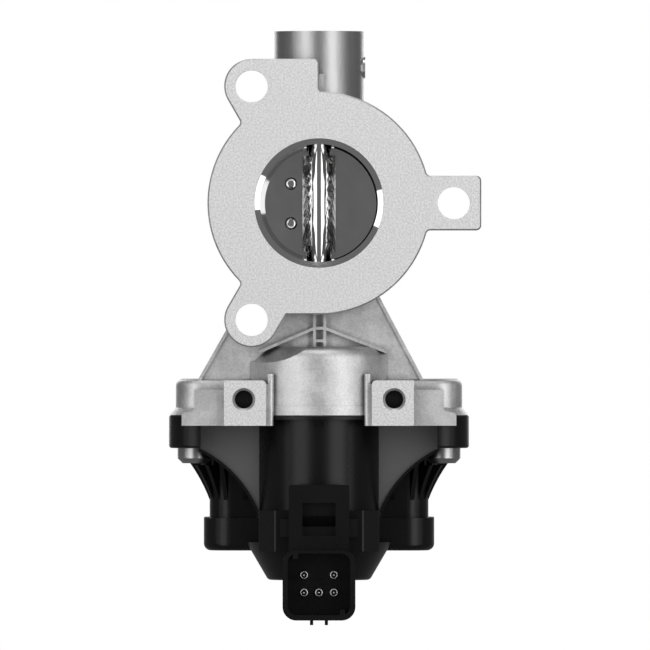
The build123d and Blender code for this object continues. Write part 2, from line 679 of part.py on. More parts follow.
def upper_bush():
    """Plain bearing bush above the bore."""
    bush = rod(BUSH_R - PRESS_GAP, UPPER_BUSH_Z, UPPER_BUSH_Z + UPPER_BUSH_L)
    return bush - rod(SHAFT_R + RUN_GAP, UPPER_BUSH_Z - 1, UPPER_BUSH_Z + UPPER_BUSH_L + 1)


def lower_bush():
    """Plain bearing bush between the bore and the dome."""
    bush = rod(BUSH_R - PRESS_GAP, LIP_SEAL_TOP_Z, LOWER_BUSH_TOP_Z)
    return bush - rod(SHAFT_R + RUN_GAP, LIP_SEAL_TOP_Z - 1, LOWER_BUSH_TOP_Z + 1)


def shaft_seal():
    """Lip seal under the lower bush."""
    seal = rod(LIP_SEAL_R - PRESS_GAP, DOME_ROOM_Z, LIP_SEAL_TOP_Z)
    seal -= rod(SHAFT_R + RUN_GAP, DOME_ROOM_Z - 1, LIP_SEAL_TOP_Z + 1)
    hollow = rod(LIP_SEAL_R - LIP_SEAL_WALL, DOME_ROOM_Z - 1, DOME_ROOM_Z + LIP_SEAL_L / 2)
    return seal - (hollow - rod(SHAFT_R + LIP_T, DOME_ROOM_Z - 2, LIP_SEAL_TOP_Z))


def outlet_seal():
    """Square-cut seal ring in the spigot's groove."""
    inner_r = SPIGOT_R - SEAL_GROOVE_DEPTH
    ring = drum(SPIGOT_R + SEAL_PROUD, GROOVE_Y + SEAT_GAP, GROOVE_Y + SEAL_GROOVE_W - SEAT_GAP)
    return ring - drum(inner_r + PRESS_GAP, GROOVE_Y - 1, GROOVE_Y + SEAL_GROOVE_W + 1)


# Flap and its shaft


def shaft_section():
    """Flattened section of the shaft where the flap lies on it."""
    return Pos(0, SHAFT_Y + FLAP_SET_BACK + SHAFT_R) * Rectangle(4 * SHAFT_R, 2 * SHAFT_R)


def flap_shaft():
    """Shaft with a flat for the flap and two flats for the gear sector."""
    end_z = SECTOR_END_Z - CLIP_T - SEAT_GAP
    shaft = rod(SHAFT_R, end_z, NECK_PLUG_Z - SEAT_GAP)
    shaft -= upright(shaft_section(), -FLAP_R - SEAT_GAP, FLAP_R + SEAT_GAP)
    keep = Pos(0, SHAFT_Y) * Rectangle(SHAFT_FLATS, 4 * SHAFT_R)
    full = Pos(0, SHAFT_Y) * Rectangle(4 * SHAFT_R, 4 * SHAFT_R)
    shaft -= upright(full - keep, end_z - 1, SECTOR_TOP_Z)
    return chamfer(shaft.edges().filter_by(GeomType.CIRCLE).sort_by(Axis.Z)[-1], 0.5)


def flap_plate():
    """Round flap that lies against the two lands of the seat."""
    plate = drum(FLAP_R, FLAP_FRONT_Y, FLAP_BACK_Y)
    for z in (-RIVET_Z, RIVET_Z):
        plate -= drum(RIVET_SHANK_R, FLAP_FRONT_Y - 1, FLAP_BACK_Y + 1, -RIVET_X, z)
    return plate


def flap_backing():
    """Half plate behind the flap that the rivets clamp to it."""
    half = Circle(BACKING_R) & Pos(-BACKING_FROM_X - BACKING_R, 0) * Rectangle(
        2 * BACKING_R, 2 * BACKING_R
    )
    for z in (-RIVET_Z, RIVET_Z):
        half -= Pos(-RIVET_X, z) * Circle(RIVET_SHANK_R)
    return fore_aft(half, FLAP_BACK_Y, BACKING_BACK_Y)


def flap_rivets():
    """Two rivets with dimpled, domed front heads."""
    rivets = Part()
    top_y = FLAP_FRONT_Y - RIVET_HEAD_H
    dome_r = (RIVET_HEAD_R**2 + RIVET_HEAD_H**2) / (2 * RIVET_HEAD_H)
    dimple_r, dimple_depth = RIVET_DIMPLE
    for z in (-RIVET_Z, RIVET_Z):
        shank = drum(RIVET_SHANK_R - PRESS_GAP, FLAP_FRONT_Y, BACKING_BACK_Y, -RIVET_X, z)
        head = Pos(-RIVET_X, top_y + dome_r, z) * Sphere(dome_r)
        head &= drum(RIVET_HEAD_R, top_y - 1, FLAP_FRONT_Y, -RIVET_X, z)
        head -= drum(dimple_r, top_y - 1, top_y + dimple_depth, -RIVET_X, z)
        tail = drum(RIVET_HEAD_R, BACKING_BACK_Y, BACKING_BACK_Y + RIVET_TAIL_H, -RIVET_X, z)
        rivets += shank + head + tail
    return rivets


def shaft_welds():
    """Weld bead down each side of the shaft where the flap is joined to it."""
    bead = Pos(SHAFT_R, FLAP_FRONT_Y) * Circle(WELD_R)
    bead -= shaft_section()
    bead -= Pos(0, SHAFT_Y) * Circle(SHAFT_R)
    return mirrored(upright(bead, -WELD_HALF_L, WELD_HALF_L))


# Gear train


def involute(r, base_r):
    """Involute polar angle at radius r."""
    roll = math.sqrt(max((r / base_r) ** 2 - 1, 0.0))
    return roll - math.atan(roll)


def gear_face(teeth, first):
    """Toothed outline about the origin with tooth 0 centred at the angle first."""
    pitch_r = MODULE * teeth / 2
    base_r = pitch_r * math.cos(math.radians(PRESSURE_ANGLE))
    tip_r = pitch_r + MODULE
    root_r = pitch_r - ROOT_DEPTH * MODULE
    thickness = math.pi * MODULE / 2 - BACKLASH / 2

    def half_angle(r):
        at_pitch = thickness / (2 * pitch_r)
        swing = involute(pitch_r, base_r) - involute(max(r, base_r), base_r)
        return math.degrees(at_pitch + swing)

    edges = []
    step = 360 / teeth
    for k in range(teeth):
        middle = first + k * step
        flank = [(r, half_angle(r)) for r in (root_r, pitch_r, tip_r)]
        rising = [polar(r, middle - a) for r, a in flank]
        falling = [polar(r, middle + a) for r, a in reversed(flank)]
        next_root = polar(root_r, middle + step - half_angle(root_r))
        edges.append(ThreePointArc(*rising))
        edges.append(Line(rising[-1], falling[0]))
        edges.append(ThreePointArc(*falling))
        edges.append(Line(falling[-1], next_root))
    return Face(Wire(edges))


def motor_pinion():
    """Steel pinion on the motor shaft."""
    face = Pos(0, SHAFT_Y) * gear_face(PINION_TEETH, 90)
    return upright(face, WHEEL_END_Z, WHEEL_TOP_Z) - rod(MOTOR_SHAFT_R, WHEEL_END_Z - 1, WHEEL_TOP_Z + 1)


def idler_wheel():
    """Large moulded wheel of the idler, thinned between hub and rim."""
    tooth_step = 360 / WHEEL_TEETH
    wheel = upright(gear_face(WHEEL_TEETH, -90 + tooth_step / 2), WHEEL_END_Z, WHEEL_TOP_Z)
    web = (WHEEL_T - WHEEL_WEB_T) / 2
    rim_r = MODULE * (WHEEL_TEETH / 2 - ROOT_DEPTH) - WHEEL_RIM_T
    hollow = Circle(rim_r) - Circle(IDLER_BOSS_R + WHEEL_HUB_T)
    wheel -= upright(hollow, WHEEL_TOP_Z - web, WHEEL_TOP_Z + 1)
    wheel -= upright(hollow, WHEEL_END_Z - 1, WHEEL_END_Z + web)
    wheel += rod(IDLER_BOSS_R - WHEEL_HUB_T, FLOOR_Z + SEAT_GAP, WHEEL_TOP_Z, y=0)
    wheel -= rod(IDLER_SHANK_R + PRESS_GAP, FLOOR_Z, WHEEL_TOP_Z + 1, y=0)
    return Pos(0, IDLER_Y) * wheel


def idler_pinion():
    """Small pinion of the idler with the shank that carries the wheel."""
    pinion = upright(gear_face(PINION_TEETH, -90), WHEEL_TOP_Z + SEAT_GAP, SECTOR_TOP_Z)
    pinion += rod(IDLER_SHANK_R, FLOOR_Z + SEAT_GAP, WHEEL_TOP_Z + SEAT_GAP, y=0)
    pinion -= rod(IDLER_PIN_R + RUN_GAP, FLOOR_Z, SECTOR_TOP_Z + 1, y=0)
    return Pos(0, IDLER_Y) * pinion


def idler_pin():
    """Fixed pin that the idler turns on."""
    pin = rod(IDLER_PIN_R - PRESS_GAP, FLOOR_Z - IDLER_PIN_SEAT, ROOF_Z + IDLER_PIN_SEAT, y=IDLER_Y)
    return chamfer(pin.edges().filter_by(GeomType.CIRCLE), 0.3)


def sector_gear():
    """Gear sector on the flap shaft, on a round hub that also seats the spring."""
    tooth_step = 360 / WHEEL_TEETH
    face = Pos(0, SHAFT_Y) * gear_face(WHEEL_TEETH, 90 + tooth_step / 2)
    face = face & pie(0.1, BARREL_R, SECTOR_FROM, SECTOR_TO)
    face += Pos(0, SHAFT_Y) * Circle(SECTOR_HUB_R)
    sector = upright(face, SECTOR_END_Z, SECTOR_TOP_Z)
    flats = Pos(0, SHAFT_Y) * Rectangle(SHAFT_FLATS + 2 * PRESS_GAP, 4 * SHAFT_R)
    bore = flats & Pos(0, SHAFT_Y) * Circle(SHAFT_R + PRESS_GAP)
    return sector - upright(bore, SECTOR_END_Z - 1, SECTOR_TOP_Z + 1)


def sector_clip():
    """Spring clip that holds the sector on the shaft's end."""
    outer = Pos(0, SHAFT_Y) * Circle(CLIP_R)
    keep_flats = Pos(0, SHAFT_Y) * Rectangle(SHAFT_FLATS + 2 * PRESS_GAP, 4 * SHAFT_R)
    clip = outer - (keep_flats & Pos(0, SHAFT_Y) * Circle(SHAFT_R + PRESS_GAP))
    clip -= Pos(0, SHAFT_Y - CLIP_R) * Rectangle(SHAFT_R, 2 * CLIP_R)
    return upright(clip, SECTOR_END_Z - CLIP_T, SECTOR_END_Z)


def position_magnet():
    """Curved magnet under the sector's hub."""
    return upright(pie(*MAGNET_R, *MAGNET_ARC), SECTOR_END_Z - MAGNET_T, SECTOR_END_Z)


def return_spring():
    """Torsion spring between the dome's roof and the sector's hub."""
    top_z = DOME_ROOM_Z - SEAT_GAP - SPRING_WIRE_R
    end_z = SECTOR_TOP_Z + SEAT_GAP + SPRING_WIRE_R
    path = Helix((top_z - end_z) / SPRING_TURNS, top_z - end_z, SPRING_R)
    wire = Plane(origin=path @ 0, z_dir=path % 0) * Circle(SPRING_WIRE_R)
    return Pos(0, SHAFT_Y, end_z) * sweep(wire, path, is_frenet=True)


# Motor


def motor_can():
    """Drawn steel can, closed below with a hollow bearing boss."""
    end_z = MOTOR_END_Z
    floor_z = end_z + MOTOR_CAN_EDGE_R
    can = rod(MOTOR_R, end_z, MOTOR_TOP_Z - END_PLATE_T)
    can = fillet(can.edges().sort_by(Axis.Z)[0], MOTOR_CAN_EDGE_R)
    can += rod(MOTOR_BOSS_R, end_z - MOTOR_BOSS_L, floor_z)
    can -= rod(MOTOR_R - MOTOR_WALL, floor_z, MOTOR_TOP_Z)
    can -= rod(BEARING_R, end_z - MOTOR_BOSS_L + MOTOR_BOSS_LIP, floor_z + 1)
    for x in (-BLADE_X, BLADE_X):
        slot = (x - BLADE_W, x + BLADE_W, SHAFT_Y - BLADE_T, SHAFT_Y + BLADE_T)
        can -= block(*slot, end_z - 1, floor_z + 1)
    return can


def motor_end_plate():
    """Plate that closes the can towards the gears."""
    plate = rod(MOTOR_R, MOTOR_TOP_Z - END_PLATE_T, MOTOR_TOP_Z)
    plate += rod(MOTOR_BOSS_R, MOTOR_TOP_Z - 1, FLOOR_Z + MOTOR_BOSS_LIP)
    plate -= rod(BEARING_R, MOTOR_TOP_Z - END_PLATE_T - 1, FLOOR_Z)
    return plate - rod(MOTOR_SHAFT_R + SHAFT_CLEAR, FLOOR_Z - 1, FLOOR_Z + 1)


def motor_bearings():
    """Sintered bearings in the two bosses."""
    end_z = MOTOR_END_Z - MOTOR_BOSS_L + MOTOR_BOSS_LIP
    pair = rod(BEARING_R - PRESS_GAP, FLOOR_Z - BEARING_L, FLOOR_Z)
    pair += rod(BEARING_R - PRESS_GAP, end_z, end_z + BEARING_L)
    return pair - rod(MOTOR_SHAFT_R + RUN_GAP, end_z - 1, FLOOR_Z + 1)


def motor_shaft():
    """Motor shaft from the pinion's top to the rear bearing."""
    end_z = MOTOR_END_Z - MOTOR_BOSS_L + MOTOR_BOSS_LIP + SEAT_GAP
    shaft = rod(MOTOR_SHAFT_R - PRESS_GAP, end_z, WHEEL_TOP_Z)
    return chamfer(shaft.edges().filter_by(GeomType.CIRCLE), 0.3)


def armature():
    """Slotted armature core with its windings' bundles between the teeth."""
    top_z = MOTOR_TOP_Z - END_PLATE_T - ARMATURE_END_GAP
    round_r, mouth_w, mouth_l = ARMATURE_SLOT
    mouth_middle = ARMATURE_R + 1 - mouth_l / 2
    section = Circle(ARMATURE_R)
    for k in range(ARMATURE_SLOTS):
        slot = Pos(mouth_middle - mouth_l / 2, 0) * Circle(round_r)
        slot += Pos(mouth_middle, 0) * Rectangle(mouth_l, mouth_w)
        section -= Rot(0, 0, 90 + k * 360 / ARMATURE_SLOTS) * slot
    core = upright(Pos(0, SHAFT_Y) * section, top_z - ARMATURE_L, top_z)
    return core - rod(MOTOR_SHAFT_R, top_z - ARMATURE_L - 1, top_z + 1)


def commutator():
    """Commutator on the motor shaft at the can's closed end."""
    end_z = MOTOR_END_Z + COMMUTATOR_GAP
    ring = rod(COMMUTATOR_R, end_z, end_z + COMMUTATOR_L)
    return ring - rod(MOTOR_SHAFT_R, end_z - 1, end_z + COMMUTATOR_L + 1)


def motor_magnets():
    """Two curved magnets in the can."""
    top_z = MOTOR_TOP_Z - END_PLATE_T - MAGNET_END_GAP
    inner_r = ARMATURE_R + MAGNET_GAP
    outer_r = MOTOR_R - MOTOR_WALL - PRESS_GAP
    pair = Sketch()
    for middle in (90, 270):
        pair += pie(inner_r, outer_r, middle - MAGNET_HALF_ARC, middle + MAGNET_HALF_ARC)
    return upright(pair, top_z - ARMATURE_L - 1, top_z)


def brush_box(side, gap):
    """Room that one brush takes, grown by a gap."""
    z = MOTOR_END_Z + COMMUTATOR_GAP + COMMUTATOR_L / 2
    near = side * (COMMUTATOR_R + BRUSH_GAP - gap)
    far = side * (BRUSH_REACH + gap)
    half_w = BRUSH_W / 2 + gap
    half_h = BRUSH_H / 2 + gap
    return block(near, far, SHAFT_Y - half_w, SHAFT_Y + half_w, z - half_h, z + half_h)


def brushes():
    """Two carbon brushes on the commutator."""
    return brush_box(-1, 0) + brush_box(1, 0)


def brush_holder():
    """Moulded ring that guides the brushes."""
    end_z = MOTOR_END_Z + MOTOR_CAN_EDGE_R
    top_z = end_z + COMMUTATOR_L + 1
    ring = rod(MOTOR_R - MOTOR_WALL - PRESS_GAP, end_z, top_z)
    ring -= rod(COMMUTATOR_R + MAGNET_GAP, end_z - 1, top_z + 1)
    for side in (-1, 1):
        ring -= brush_box(side, LAND_GAP)
    for x in (-BLADE_X, BLADE_X):
        ring -= blade(x, PRESS_GAP)
    return ring


def blade(x, gap):
    """One terminal blade, grown by a gap for its slot."""
    half_w = BLADE_W / 2 + gap
    half_t = BLADE_T / 2 + gap
    top_z = MOTOR_END_Z + BLADE_RISE
    return block(x - half_w, x + half_w, SHAFT_Y - half_t, SHAFT_Y + half_t, top_z - BLADE_L, top_z)


def motor_blades():
    """Terminal blades from the brush holder into the cover."""
    return blade(-BLADE_X, 0) + blade(BLADE_X, 0)


def wave_washer():
    """Washer that holds the can up against its ledge."""
    ring = rod(BLADE_X - BLADE_W, CUP_FLOOR_Z, MOTOR_END_Z)
    return ring - rod(MOTOR_BOSS_R + 1, CUP_FLOOR_Z - 1, MOTOR_END_Z + 1)


# Plastic housing and its fixings


def web_panels():
    """Flat webs from the motor barrel out to the flange, with an arched lower edge."""
    end_z = HOUSING_TOP_Z - PANEL_END_DROP
    near = Vector(HOUSING_BARREL_R, end_z)
    far = Vector(PANEL_OUT_X, HOUSING_FLANGE_Z - PANEL_ARC_DROP)
    middle = (near + far) * 0.5
    across = (far - near).normalized().rotate(Axis.Z, 90)
    arch = ThreePointArc(near, middle + across * PANEL_ARC_SAG, far)
    inner_x = HOUSING_BARREL_R - BARREL_SKIN / 2
    sides = Polyline(
        far,
        (PANEL_OUT_X, HOUSING_TOP_Z - 1),
        (inner_x, HOUSING_TOP_Z - 1),
        (inner_x, end_z),
        near,
    )
    web = fore_aft(make_face(Curve() + arch + sides), PANEL_Y, ROOM_FRONT_Y)
    lip = make_face(offset(arch, PANEL_LIP / 2, side=Side.BOTH))
    web += fore_aft(lip, PANEL_Y - PANEL_LIP, PANEL_Y + 1)
    return mirrored(web)


def rib(x, y, turn):
    """Curved rib under the flange, reaching out from the rounded wall round (x, y)."""
    top_z = HOUSING_FLANGE_Z + 1
    end_z = HOUSING_FLANGE_Z - RIB_DROP
    wall = HOUSING_CORNER_R
    waist = (wall + RIB_WAIST_SHARE * RIB_OUT, HOUSING_FLANGE_Z - RIB_WAIST_DROP)
    arch = ThreePointArc((wall + RIB_OUT, HOUSING_FLANGE_Z), waist, (wall, end_z))
    sides = Polyline(
        (wall, end_z),
        (wall - 1, end_z),
        (wall - 1, top_z),
        (wall + RIB_OUT, top_z),
        (wall + RIB_OUT, HOUSING_FLANGE_Z),
    )
    face = make_face(Curve() + arch + sides)
    return Pos(x, y, 0) * Rot(0, 0, -turn) * fore_aft(face, -RIB_T / 2, RIB_T / 2)


def ribs():
    """Curved ribs round the box behind the motor: along its sides, corners and front."""
    x = HOUSING_HALF_X - HOUSING_CORNER_R
    front_y = HOUSING_FRONT_Y + HOUSING_CORNER_R
    room = HOUSING_BACK_Y - HOUSING_CORNER_R - front_y
    every = Part()
    for k in range(SIDE_RIB_COUNT):
        every += rib(x, front_y + k * room / (SIDE_RIB_COUNT - 1), 0)
    for angle in CORNER_RIB_ANGLES:
        every += rib(x, front_y, angle)
    every += rib(FRONT_RIB_X, front_y, 90)
    return mirrored(every)


def step_plan():
    """Plan of the bevelled step in front of the cover."""
    cut_x, cut_y = COVER_STEP_CUT
    plan = outline(
        (-COVER_STEP_X, COVER_FRONT_Y + STEP_SINK),
        (-COVER_STEP_X, COVER_STEP_Y + cut_y),
        (-COVER_STEP_X + cut_x, COVER_STEP_Y),
        (COVER_STEP_X - cut_x, COVER_STEP_Y),
        (COVER_STEP_X, COVER_STEP_Y + cut_y),
        (COVER_STEP_X, COVER_FRONT_Y + STEP_SINK),
    )
    return fillet(plan.vertices().sort_by(Axis.Y)[:4], STEP_CORNER_R)


def back_box(y0, half_x, back_y, corner):
    """Rounded plan of the box behind the motor."""
    depth = back_y - y0
    return Pos(0, y0 + depth / 2) * RectangleRounded(2 * half_x, depth, corner)


def collar_plan(radius):
    """Plan of a disc round the shaft, cut back to pass between the bracket pads."""
    out_x = CASE_HALF_X
    near_x = PAD_SHOULDER_X - SEAT_GAP
    room = Pos((near_x + out_x) / 2, 0) * Rectangle(out_x - near_x, 2 * (PAD_BACK_Y + SEAT_GAP))
    return Pos(0, SHAFT_Y) * Circle(radius) - room - mirror(room, Plane.YZ)


def top_plan(inset):
    """Plan of the housing's top face, drawn in from its edges by an inset."""
    front = Rectangle(2 * (PANEL_OUT_X + inset), 2 * (PANEL_Y + inset))
    plan = case_plan(LIP_PROUD - inset) - front
    return plan + collar_plan(DOME_R - inset)


def inner_box():
    """Plan of the hollow behind the motor."""
    front_y = SHAFT_Y + HOUSING_BARREL_R + INNER_BOX_GAP
    return back_box(
        front_y,
        HOUSING_HALF_X - HOUSING_WALL,
        HOUSING_BACK_Y - HOUSING_WALL,
        HOUSING_CORNER_R - HOUSING_WALL,
    )


def actuator_housing():
    """Black housing: flange, gear room floor, motor barrel, back box, webs and ribs."""
    shell = upright(case_plan(LIP_PROUD), HOUSING_FLANGE_Z, HOUSING_TOP_Z)
    shell = fillet(shell.faces().sort_by(Axis.Z)[0].edges(), FLANGE_FOOT_R)
    shell -= block(-PANEL_OUT_X, PANEL_OUT_X, 0, PANEL_Y, HOUSING_FLANGE_Z - 1, HOUSING_TOP_Z + 1)
    shell += rod(HOUSING_BARREL_R, COVER_TOP_Z, HOUSING_TOP_Z)
    shell += upright(collar_plan(DOME_R), HOUSING_TOP_Z - COLLAR_H, HOUSING_TOP_Z)
    box = back_box(HOUSING_FRONT_Y, HOUSING_HALF_X, HOUSING_BACK_Y, HOUSING_CORNER_R)
    shell += upright(box, COVER_TOP_Z, HOUSING_FLANGE_Z + 1)
    shell += upright(step_plan(), COVER_TOP_Z, COVER_TOP_Z + STEP_H)
    shell += web_panels()
    shell += ribs()
    shell -= upright(room_plan(MOTOR_ROOM_R), FLOOR_Z, HOUSING_TOP_Z + 1)
    shell -= rod(MOTOR_ROOM_R, COVER_TOP_Z - 1, MOTOR_TOP_Z)
    pinion_room_r = MODULE * (PINION_TEETH / 2 + 1) + MAGNET_GAP
    shell -= rod(pinion_room_r, MOTOR_TOP_Z - 1, FLOOR_Z + 1)
    shell -= rod(IDLER_PIN_R, FLOOR_Z - IDLER_PIN_SEAT - SEAT_GAP, FLOOR_Z + 1, y=IDLER_Y)
    shell -= upright(inner_box(), COVER_TOP_Z - 1, HOUSING_FLANGE_Z - HOUSING_WALL)
    hole_r = HOUSING_BOLT_R + SHAFT_CLEAR + SLEEVE_WALL
    head_r = HOUSING_BOLT_HEAD_R + 2 * MOTOR_GAP
    head_end_z = HOUSING_FLANGE_Z - HOUSING_BOLT_HEAD_H - 2 * SEAT_GAP
    for x, y in HOUSING_BOLTS:
        shell -= rod(hole_r, HOUSING_FLANGE_Z - 1, HOUSING_TOP_Z + 1, x, y)
        shell -= rod(head_r, head_end_z, HOUSING_FLANGE_Z, x, y)
    width, height, drop = NOTCH
    top_z = HOUSING_TOP_Z - drop
    front_y = SHAFT_Y - HOUSING_BARREL_R
    return shell - block(-width / 2, width / 2, 0, front_y + BARREL_SKIN / 4, top_z - height, top_z)


def housing_gasket():
    """Flat gasket on the split face between casting and housing."""
    face = top_plan(GASKET_INSET) - room_plan(HOUSING_BARREL_R)
    for x, y in HOUSING_BOLTS:
        face -= Pos(x, y) * Circle(HOUSING_BOLT_R + 2 * SHAFT_CLEAR)
    return upright(face, HOUSING_TOP_Z, SPLIT_Z)


def bolt_sleeves():
    """Steel sleeves that take the bolt load through the plastic flange."""
    sleeves = Part()
    inner_r = HOUSING_BOLT_R + SHAFT_CLEAR
    for x, y in HOUSING_BOLTS:
        sleeve = rod(inner_r + SLEEVE_WALL - PRESS_GAP, HOUSING_FLANGE_Z, HOUSING_TOP_Z, x, y)
        sleeves += sleeve - rod(inner_r, HOUSING_FLANGE_Z - 1, HOUSING_TOP_Z + 1, x, y)
    return sleeves


def housing_bolts():
    """Four round-headed bolts with hexagon sockets, screwed up into the casting."""
    bolts = Part()
    head_end_z = HOUSING_FLANGE_Z - HOUSING_BOLT_HEAD_H
    for x, y in HOUSING_BOLTS:
        head = rod(HOUSING_BOLT_HEAD_R, head_end_z, HOUSING_FLANGE_Z, x, y)
        head = chamfer(head.edges().sort_by(Axis.Z)[0], HOUSING_BOLT_EDGE)
        key = Pos(x, y) * RegularPolygon(HOUSING_BOLT_KEY_R, 6)
        head -= upright(key, head_end_z - 1, head_end_z + HOUSING_BOLT_KEY_H)
        top_z = HOUSING_FLANGE_Z + HOUSING_BOLT_L
        bolts += head + rod(HOUSING_BOLT_R - PRESS_GAP, HOUSING_FLANGE_Z, top_z, x, y)
    return bolts


def sensor_board():
    """Curved circuit board on the gear room's floor with the angle sensor on it."""
    plan = pie(BOARD_IN_R, MOTOR_ROOM_R - MAGNET_GAP, *BOARD_ARC)
    board = upright(plan, FLOOR_Z, FLOOR_Z + BOARD_T)
    chip_y = SHAFT_Y - sum(MAGNET_R) / 2
    chip = Pos(0, chip_y) * Rectangle(CHIP_W, CHIP_L)
    return board + upright(chip, FLOOR_Z + BOARD_T, FLOOR_Z + BOARD_T + CHIP_H)


# Bottom cover and socket


def bottom_cover():
    """Black cover with the motor cup, the latch tower and the electrical socket."""
    plan = back_box(COVER_FRONT_Y, COVER_HALF_X, COVER_BACK_Y, COVER_CORNER_R)
    cover = upright(plan, COVER_END_Z, COVER_TOP_Z)
    cover = fillet(cover.faces().sort_by(Axis.Z)[0].edges(), COVER_EDGE_R)
    cover += upright(step_plan(), COVER_END_Z, COVER_TOP_Z)
    cover += bowl()
    cover += tower()
    cover += socket()
    cover -= rod(MOTOR_ROOM_R, CUP_FLOOR_Z, COVER_TOP_Z + 1)
    cover -= rod(MOTOR_BOSS_R + SEAT_GAP, CUP_BOSS_Z, COVER_TOP_Z)
    cover -= upright(inner_box(), COVER_END_Z + HOUSING_WALL, COVER_TOP_Z + 1)
    cover -= upright(seal_ring(0), COVER_TOP_Z - COVER_SEAL_H, COVER_TOP_Z + 1)
    for x in (-BLADE_X, BLADE_X):
        cover -= blade(x, SEAT_GAP)
    for x, z in pin_places():
        cover -= drum(PIN_R, SOCKET_FLOOR_Y - 1, SOCKET_BACK_Y - 1, x, z)
    return cover


def bowl():
    """Tapered bowl under the cover round the motor's end, running up into the cover."""
    slope = (BOWL_TOP_R - BOWL_END_R) / (COVER_END_Z - BOWL_END_Z)
    height = COVER_END_Z - BOWL_END_Z + BOWL_SINK
    cone = Cone(BOWL_END_R, BOWL_END_R + slope * height, height)
    cone = fillet(cone.edges().filter_by(GeomType.CIRCLE).sort_by(Axis.Z)[0], BOWL_EDGE_R)
    return Pos(0, SHAFT_Y, BOWL_END_Z + height / 2) * cone


def seal_ring(gap):
    """Plan of the seal between the cover and the housing's lower rim."""
    ring = Sketch()
    for sign, inset in ((1, gap), (-1, COVER_SEAL_W - gap)):
        edge = COVER_SEAL_EDGE + inset
        plan = back_box(
            HOUSING_FRONT_Y + COVER_SEAL_FRONT + inset,
            HOUSING_HALF_X - edge,
            HOUSING_BACK_Y - edge,
            HOUSING_CORNER_R - edge,
        )
        ring = ring + plan if sign > 0 else ring - plan
    return ring - Pos(0, SHAFT_Y) * Circle(MOTOR_ROOM_R + 1)


def cover_seal():
    """Seal bead in the cover's groove."""
    return upright(seal_ring(PRESS_GAP), COVER_TOP_Z - COVER_SEAL_H, COVER_TOP_Z)


def tower():
    """Upright plate in front of the motor barrel that takes the plug's latch."""
    height = TOWER_TOP_Z - COVER_END_Z
    face = Pos(0, COVER_END_Z + height / 2) * Rectangle(2 * TOWER_HALF_X, height)
    face = fillet(face.vertices().sort_by(Axis.Y)[-2:], TOWER_CORNER_R)
    plate = fore_aft(face, TOWER_FRONT_Y, TOWER_BACK_Y)
    sink_y = COVER_STEP_Y + 2
    plate += block(-TOWER_HALF_X, TOWER_HALF_X, TOWER_BACK_Y - 1, sink_y, COVER_END_Z, COVER_TOP_Z)
    for side in (-1, 1):
        x0, x1 = side * (TOWER_HALF_X - 1), side * (TOWER_HALF_X + EAR_W)
        plate += block(x0, x1, TOWER_FRONT_Y + 1, sink_y, COVER_TOP_Z - EAR_H, COVER_TOP_Z)
    top_z = TOWER_TOP_Z - LATCH_TOP_DROP
    back_y = TOWER_FRONT_Y + LATCH_DEPTH
    plate -= block(-LATCH_HALF_X, LATCH_HALF_X, TOWER_FRONT_Y - 1, back_y, top_z - LATCH_H, top_z)
    ramp_z = top_z - LATCH_RAMP_DROP
    ramp = outline((back_y + 0.5, ramp_z), (TOWER_FRONT_Y, ramp_z), (back_y + 0.5, ramp_z - LATCH_RAMP_H))
    return plate + extrude(Plane.YZ.offset(-LATCH_HALF_X) * ramp, 2 * LATCH_HALF_X)


def pin_places():
    """Centres of the five contact pins, two above three."""
    top_z = SOCKET_TOP_Z - PIN_TOP_DROP
    upper = [(x * PIN_PITCH, top_z) for x in (-1, 1)]
    return upper + [(x * PIN_PITCH, top_z - PIN_ROW_DROP) for x in (-1, 0, 1)]


def socket():
    """Keyed socket shroud that faces forward, with two small ribs under it."""
    middle_z = SOCKET_TOP_Z - SOCKET_H / 2
    shell = Pos(0, middle_z) * RectangleRounded(2 * SOCKET_HALF_X, SOCKET_H, SOCKET_CORNER_R)
    body = fore_aft(shell, SOCKET_FRONT_Y, SOCKET_BACK_Y)
    neck_end_z = BOWL_END_Z + SOCKET_NECK_RISE
    neck_back_y = SHAFT_Y - SOCKET_NECK_DEPTH
    body += block(-TOWER_HALF_X, TOWER_HALF_X, SOCKET_BACK_Y - 1, neck_back_y, neck_end_z, COVER_END_Z + 1)
    opening_z = SOCKET_TOP_Z - OPENING_TOP_WALL - OPENING_H / 2
    opening = Pos(0, opening_z) * RectangleRounded(2 * OPENING_HALF_X, OPENING_H, OPENING_CORNER_R)
    for side in (-1, 1):
        key_x = side * (OPENING_HALF_X - KEY_INSET)
        opening -= Pos(key_x, opening_z - side * OPENING_H / 2) * Rectangle(KEY_W, 2 * KEY_W)
    body -= fore_aft(opening, SOCKET_FRONT_Y - 1, SOCKET_FLOOR_Y)
    end_z = SOCKET_TOP_Z - SOCKET_H
    half_w = SOCKET_RIB_W / 2
    for x in (-SOCKET_RIB_X, SOCKET_RIB_X):
        depth = (SOCKET_FRONT_Y + 2, SOCKET_BACK_Y - 2)
        body += block(x - half_w, x + half_w, *depth, end_z - SOCKET_RIB_H, end_z + 1)
    return body


def terminal_pins():
    """Five round contact pins with bevelled, dimpled ends."""
    pins = Part()
    front_y = SOCKET_FLOOR_Y - PIN_PROUD
    dimple_r, dimple_depth = PIN_DIMPLE
    for x, z in pin_places():
        pin = drum(PIN_R - PRESS_GAP, front_y, SOCKET_BACK_Y - 1, x, z)
        pin = chamfer(pin.edges().sort_by(Axis.Y)[0], PIN_EDGE)
        pins += pin - drum(dimple_r, front_y - 1, front_y + dimple_depth, x, z)
    return pins


